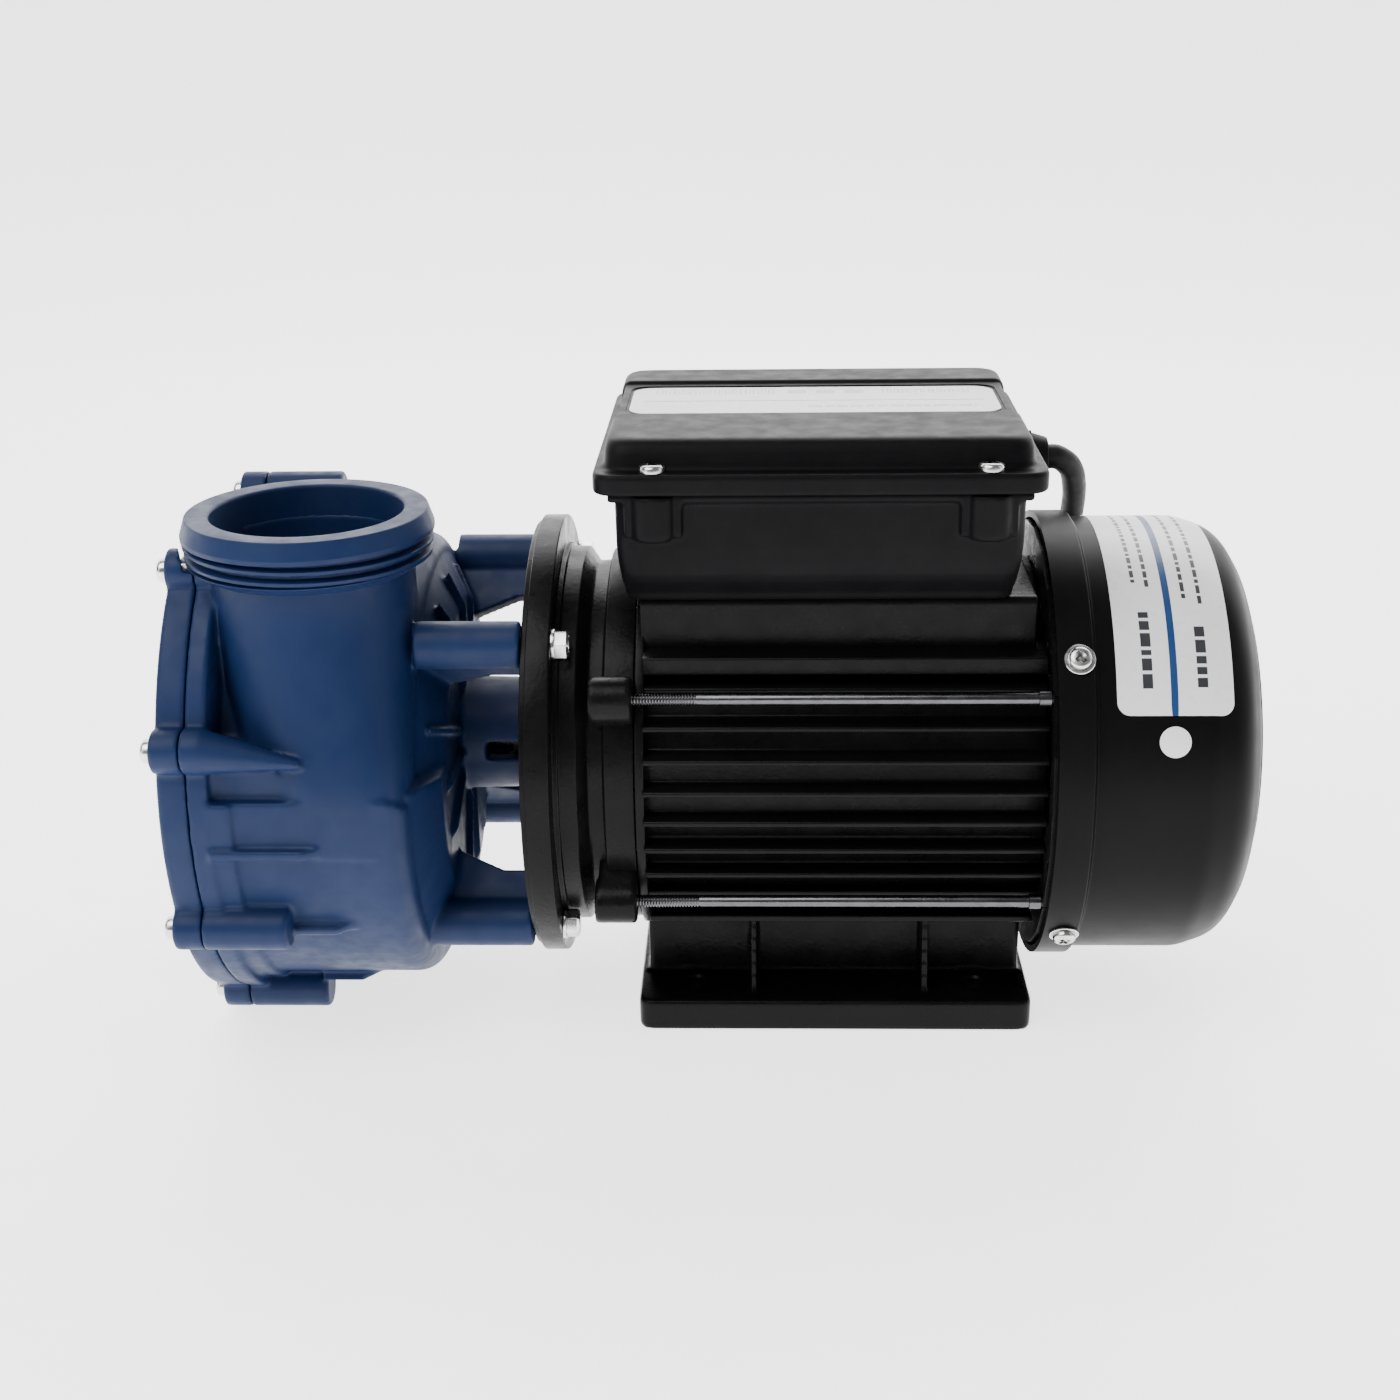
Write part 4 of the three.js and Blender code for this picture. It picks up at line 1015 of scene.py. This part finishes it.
def box_body():
    x0, x1, d = BOX["x0"], BOX["x1"], BOX["d"]
    rows = [(z, x0 + front, x1 - back, d - side, 5.5) for z, front, back, side in BOX_TAPER]
    body = stack("terminal_box_shell", rows)
    lip = block("lip", (x0 - 1.6, x1 + 1.6), (-d - 1.8, d + 1.8), (BOX["top"] - 2.6, BOX["top"]))
    adds = [lip]
    for x, y in LID_SCREWS:
        side = math.copysign(1, y)
        root, front, wall = side * 47, side * 57.8, side * 52.6
        outline = [(x - 6.2, root), (x + 6.2, root), (x + 6.2, front), (x - 6.2, front)]
        adds.append(prism("pillar", fillet(outline, [0, 0, 5.6, 5.6], 6), 165.6, BOX["top"], "z", (2.4, 0)))
        adds.append(block("web", (x - 8.4, x + 8.4), (wall - 1.6, wall + 1.6), (167, BOX["top"])))
    adds.append(rod("boss", 50, BOX["x1"] + 0.2, 10.4, centre=(30.0, 169.0), rounding=(0, 0.2)))
    union(body, *adds)
    cast(body, 0.75, 4, 0.5)
    hollow = stack("hollow", [
        (BOX["bottom"] + 3.2, x0 + 13, x1 - 11, d - 13, 4), (152, x0 + 8, x1 - 7, d - 10, 4),
        (BOX["top"] + 1, x0 + 7.5, x1 - 6.5, d - 10, 4),
    ])
    ring_room = rod("ring_room", -80, -57.8, 63.2, segments=96)
    return cut(body, hollow, ring_room, rod("cord_hole", 40, 60, 6.6, centre=(30.0, 169.5)))


def lid():
    x0, x1, d = LID["x0"], LID["x1"], LID["d"]
    bottom, top, crown = LID["bottom"], LID["top"], LID["crown"]
    body = prism("box_lid_shell", rounded_rectangle(x0, x1, -d, d, 8), bottom, top, "z", (0.8, 1.0))
    rings = []
    for z, left, right, near, far, radius in LID_RISE:
        ring = rounded_rectangle(x0 + left, x1 - right, near - d, d - far, radius)
        rings.append([(u, v, z) for u, v in ring])
    rise = loft("rise", rings)
    band = block("band", (x0 - 1, x1 + 1), RECESS, (crown - 1.2, crown + 1))
    step = block("step", (x0 - 1, x0 + 4.6), RECESS, (crown - 9, crown + 1))
    far_step = block("far_step", (x1 - 5.2, x1 + 1), RECESS, (crown - 9, crown + 1))
    cut(rise, band, step, far_step)
    union(body, rise)
    cast(body, 0.7, 4, 0.5)
    panel_outline = rounded_rectangle(-65.0, 51.5, LID_LABEL_Y - 20.4, LID_LABEL_Y + 20.4, 6.5)
    panel = prism("panel", panel_outline, crown - 1.6, crown + 1, "z", (0.2, 0))
    hollow = block("hollow", (BOX["x0"] + 8, BOX["x1"] - 8), (-40, 40), (bottom - 1, crown - 5.2))
    shanks = [upright("shank_hole", x, y, bottom - 1, top + 1, 2.3, 24) for x, y in LID_SCREWS]
    return cut(body, panel, hollow, *shanks)


def lid_screw(name, x, y):
    screw = pan_screw(name, 0, 3.85, 2.3, 12.0)
    return moved(screw, standing(x, y, LID["top"] + 0.15, 0.3))


def cord_gland():
    y, z = CORD_START[0][1:]
    hexagon = [(y + u, z + v) for u, v in fillet(circle(8.95, 6), 0.8, 4)]
    nut = prism("cord_gland", hexagon, BOX["x1"] + 0.3, 60.8, "x", (0.3, 0.5))
    dome = fillet([(60, 4.3), (60, 8.2), (64.2, 8.0), (69.9, 6.3), (69.9, 4.3)], [0, 0.4, 1.2, 0.8, 0.3], 5)
    cap = turned("cap", dome, 64, centre=(y, z))
    tail = turned("tail", [(50, 4.3), (50, 6.0), (54.5, 6.0), (54.5, 4.3)], 48, centre=(y, z))
    grips = []
    for u, v in circle(8.0, 12):
        grips.append(rod("grip", 60.5, 64.6, 0.75, centre=(y + u, z + v), segments=12, rounding=(0.2, 0.3)))
    union(nut, cap, tail, *grips)
    return cut(nut, rod("cord_room", 40, 75, 4.25, centre=(y, z), segments=48))


place(box_body(), "housing", PLASTIC, ["terminal_box"], sharp=35)
place(lid(), "housing", PLASTIC, ["box_lid"], sharp=35)
for index, (x, y) in enumerate(LID_SCREWS):
    screw = lid_screw(f"box_screw_{index + 1}", x, y)
    place(screw, "housing", SCREW, [f"lid_screw_{index + 1}"], sharp=30)
place(cord_gland(), "housing", PLASTIC, ["cable_gland"], sharp=30)

# ---- labels: film with generic printed bars; an ink is 1 grey, 2 blue or 3 pale grey ----


def label(name, half_width, half_height, corner, bars, surface, thickness=0.15, cell=2.5):
    """A rounded film in (u, v), laid on a surface by a function of (u, v, lift).

    Each bar is (u0, u1, v0, v1, ink) and is printed on the film.
    """
    us, vs = {-half_width, half_width}, {-half_height, half_height}
    for u0, u1, v0, v1, _ in bars:
        us |= {u0, u1}
        vs |= {v0, v1}
    for k in range(13):
        edge = corner * (1 - math.cos(math.pi / 2 * k / 12))
        us |= {-half_width + edge, half_width - edge}
    us = sorted(us | set(np.arange(-half_width + corner, half_width - corner, cell)))
    vs = sorted(vs | set(np.arange(-half_height, half_height, cell)))
    us = [u for i, u in enumerate(us) if i == 0 or u - us[i - 1] > 1e-6]
    vs = [v for i, v in enumerate(vs) if i == 0 or v - vs[i - 1] > 1e-6]

    def squeeze(u, v):
        """Pulls the corners in to their rounding."""
        over = max(0.0, abs(u) - (half_width - corner))
        drop = corner - math.sqrt(max(0.0, corner ** 2 - over ** 2))
        return v * (half_height - drop) / half_height

    points, faces, inks = [], [], []
    for lift in (thickness, 0.0):
        points += [surface(u, squeeze(u, v), lift) for u in us for v in vs]
    rows, columns = len(us), len(vs)
    base = rows * columns
    for i in range(rows - 1):
        for j in range(columns - 1):
            a, b = i * columns + j, (i + 1) * columns + j
            c, d = b + 1, a + 1
            middle = ((us[i] + us[i + 1]) / 2, (vs[j] + vs[j + 1]) / 2)
            ink = next((k for u0, u1, v0, v1, k in bars if u0 < middle[0] < u1 and v0 < middle[1] < v1), 0)
            faces += [(a, b, c, d), (base + d, base + c, base + b, base + a)]
            inks += [ink, 0]
    rim = [i * columns for i in range(rows)] + [(rows - 1) * columns + j for j in range(1, columns)]
    rim += [i * columns + columns - 1 for i in range(rows - 2, -1, -1)] + list(range(columns - 2, 0, -1))
    for a, b in zip(rim, rim[1:] + rim[:1]):
        faces.append((b, a, base + a, base + b))
        inks.append(0)
    made = mesh_object(name, points, faces)
    for film in (LABEL, INK, BLUE_INK, FAINT_INK):
        made.data.materials.append(film)
    made.data.polygons.foreach_set("material_index", inks)
    return face_outwards(made)


def lid_surface(u, v, lift):
    return (LID_LABEL_X + u, LID_LABEL_Y + v, LID["crown"] - 1.5 + lift)


random = np.random.default_rng(7)


def word_bars(u0, u1, v0, v1, ink, mean, gap):
    """Blocks of uneven length that stand for a printed line, along u."""
    made, at = [], u0
    while at < u1:
        length = mean * float(random.uniform(0.5, 1.6))
        made.append((at, min(u1, at + length), v0, v1, ink))
        at += length + gap
    return made


def stripes(u0, u1, v0, v1, ink):
    made, at = [], u0
    while at < u1:
        width = float(random.uniform(0.3, 0.9))
        made.append((at, at + width, v0, v1, ink))
        at += width + float(random.uniform(0.4, 1.0))
    return made


lid_bars = stripes(-50, -12, 8.5, 14.5, 3) + stripes(22, 50, 8.5, 14.5, 3)
lid_bars += [(left, left + 6, 9, 14, 3) for left in (-8, 1, 10)]
lid_bars += [(-53, 53, -1.6, -0.9, 1)] + word_bars(-2, 50, -11, -8, 3, 3.0, 0.9)
place(label("lid_label", 57.2, 18.6, 6.5, lid_bars, lid_surface), "housing", LABEL, sharp=20)

COVER_RADIUS = 70.0
LABEL_X, LABEL_LENGTH, LABEL_START = 98.0, 65.5, 13.5


def drum_surface(u, v, lift):
    """u runs down round the fan cover from its top towards -Y; v runs along +X."""
    angle = u / COVER_RADIUS
    x = LABEL_X + v
    along, radii = zip(*COVER_OUTER[:-2])
    radius = float(np.interp(x, along, radii)) + lift
    return (x, -radius * math.sin(angle), SHAFT + radius * math.cos(angle))


def wrapped(u, v, lift):
    return drum_surface(u + LABEL_START, v, lift)


cover_bars = [(-LABEL_LENGTH, LABEL_LENGTH, -1.5, 0.6, 2)]
cover_bars += word_bars(33, 58, -9.6, -6.6, 1, 3.2, 1.0) + word_bars(38, 58, 6.4, 9.4, 1, 3.2, 1.0)
cover_bars += word_bars(-54, 28, 4.0, 5.2, 1, 2.4, 0.9) + word_bars(-54, 24, -6.4, -5.2, 1, 2.4, 0.9)
cover_bars += word_bars(-54, 22, -10.4, -9.2, 1, 2.4, 0.9) + word_bars(-54, 30, 8.6, 9.8, 1, 2.4, 0.9)
cover_film = label("cover_label", LABEL_LENGTH, 17.2, 4.0, cover_bars, wrapped)
place(cover_film, "housing", LABEL, sharp=20)

STICKER_ANGLE, STICKER_RADIUS = 71.0, 4.6


def sticker():
    """A plain round sticker under the lower end of the label."""
    rings = []
    for lift, share in ((0.02, 0.05), (0.02, 1.0), (0.22, 1.0), (0.26, 0.96), (0.26, 0.05)):
        ring = []
        for u, v in circle(STICKER_RADIUS * share, 48):
            ring.append(drum_surface(COVER_RADIUS * math.radians(STICKER_ANGLE) + u, v - 0.4, lift))
        rings.append(ring)
    return loft("round_sticker", rings)


place(sticker(), "housing", LABEL, sharp=20)

# ---- plug ----

PLUG_Y, PLUG_Z = 262.0, 7.6
# The plug's sections: (x, half width, underside, top, corner radius).
PLUG_SECTIONS = [
    (25.4, 3.9, 3.5, 11.7, 2.6), (24, 5.4, 2.2, 12.6, 3.2), (19, 6.2, 1.2, 13.6, 3.6),
    (12, 6.4, 0.9, 14.0, 3.6), (6, 8.6, 0.5, 14.8, 3.8), (-7.6, 8.9, 0.35, 14.95, 3.4),
    (-9, 8.0, 1.2, 14.1, 2.6),
]


def plug_body():
    rows = []
    for x, half, low, high, radius in PLUG_SECTIONS:
        near, far = PLUG_Y - half, PLUG_Y + half
        section = fillet([(near, low), (far, low), (far, high), (near, high)], radius, 6)
        rows.append([(x, y, z) for y, z in section])
    body = loft("plug_shell", rows)
    grooves = []
    for low, high in ((252, 254.1), (270.0, 272)):
        section = fillet([(low, 5.2), (high, 5.2), (high, 10.2), (low, 10.2)], 0.3, 3)
        grooves += [prism("groove", section, x, x + 1.4) for x in (-5, -1.5, 2)]
    return cut(body, *grooves)


def plug_pins():
    pins = []
    for offset in (-4.5, 4.5):
        profile = [(-26, 0.02), (-26, 1.5), (-25.2, 2.15), (-8.5, 2.15), (-8.5, 0.02)]
        pins.append(turned("pin", profile, 40, wrap=False, centre=(PLUG_Y + offset, PLUG_Z)))
    return joined("plug_pins", pins)


plug = place(plug_body(), "housing", RUBBER, ["cord_plug"], sharp=35)
pins = place(plug_pins(), "housing", STEEL, ["cord_plug"], sharp=30)
place(tie, "housing", RUBBER, sharp=30)
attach(cord, "housing")
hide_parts("power_cord", "cord_coil", "cord_tail")

# The material of each CAD node that has no visual piece of its own.
CARRIED = {name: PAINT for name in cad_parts}
for material, names in (
    (STEEL, ["front_bearing_outer_ring", "front_bearing_inner_ring", "rear_bearing_outer_ring",
             "rear_bearing_inner_ring", "wave_spring"]),
    (IRON, ["stator_core", "rotor_core"]),
    (COPPER, ["front_winding", "rear_winding"]),
    (RUBBER, ["cover_oring", "box_gasket", "water_slinger", "seal_head"]),
    (CERAMIC, ["seal_seat", "terminal_block"]),
    (IMPELLER, ["impeller", "wear_ring"]),
    (GREY, ["run_capacitor"]),
    (PLASTIC, ["cooling_fan"]),
):
    CARRIED.update(dict.fromkeys(names, material))

# ---- stage ----


# Lights: (name, place, aim, width and height, power), in metres and watts.
LIGHTS = [
    ("key", (-0.5, -0.5, 1.1), (0, 0, 0.1), (0.9, 0.9), 14),
    ("right", (1.0, -0.2, 0.6), (0.05, 0, 0.1), (0.3, 0.9), 1.2),
    ("left", (-0.9, -0.7, 0.5), (-0.1, 0, 0.1), (0.3, 0.9), 1.5),
    ("back", (0.1, 0.9, 0.9), (0, 0, 0.1), (1.4, 0.6), 10),
]
FLOOR_GLOW, WORLD_GLOW = 2.2, 0.22


def area_light(name, at, to, size, power):
    data = bpy.data.lights.new(name, "AREA")
    data.shape = "RECTANGLE"
    data.size, data.size_y = size
    data.energy = power
    made = bpy.data.objects.new(name, data)
    bpy.context.scene.collection.objects.link(made)
    made.location = at
    made.rotation_mode = "QUATERNION"
    made.rotation_quaternion = (Vector(to) - Vector(at)).to_track_quat("-Z", "Y")


floor_material = pale("studio_floor", (0.92, 0.92, 0.92), (0.6, 0.7))
floor_shader = floor_material.node_tree.nodes["Principled BSDF"]
floor_shader.inputs["Emission Color"].default_value = (1, 1, 1, 1)
floor_shader.inputs["Emission Strength"].default_value = FLOOR_GLOW

# The floor in metres, as (y, z): flat, then a quarter turn up to the wall behind.
BEND, BEND_START, FLOOR_REACH = 1.2, 1.0, 10.0
SWEEP = [(-FLOOR_REACH, 0.0)]
for t in np.linspace(0, math.pi / 2, 25):
    SWEEP.append((BEND_START + BEND * math.sin(t), BEND - BEND * math.cos(t)))
SWEEP.append((BEND_START + BEND, 4.0))
floor_points = [(x, y, z) for y, z in SWEEP for x in (-FLOOR_REACH, FLOOR_REACH)]
floor_faces = [(2 * i, 2 * i + 1, 2 * i + 3, 2 * i + 2) for i in range(len(SWEEP) - 1)]
floor = mesh_object("studio_floor", floor_points, floor_faces)
floor.data.shade_smooth()
floor.location.z = -0.0002
floor.data.materials.append(floor_material)

world = bpy.data.worlds.new("studio")
bpy.context.scene.world = world
world.use_nodes = True
background = world.node_tree.nodes["Background"]
background.inputs["Color"].default_value = (1, 1, 1, 1)
background.inputs["Strength"].default_value = WORLD_GLOW
for light in LIGHTS:
    area_light(*light)

for name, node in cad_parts.items():
    if not node.hide_render and name in CARRIED:
        node.data.materials.clear()
        node.data.materials.append(CARRIED[name])
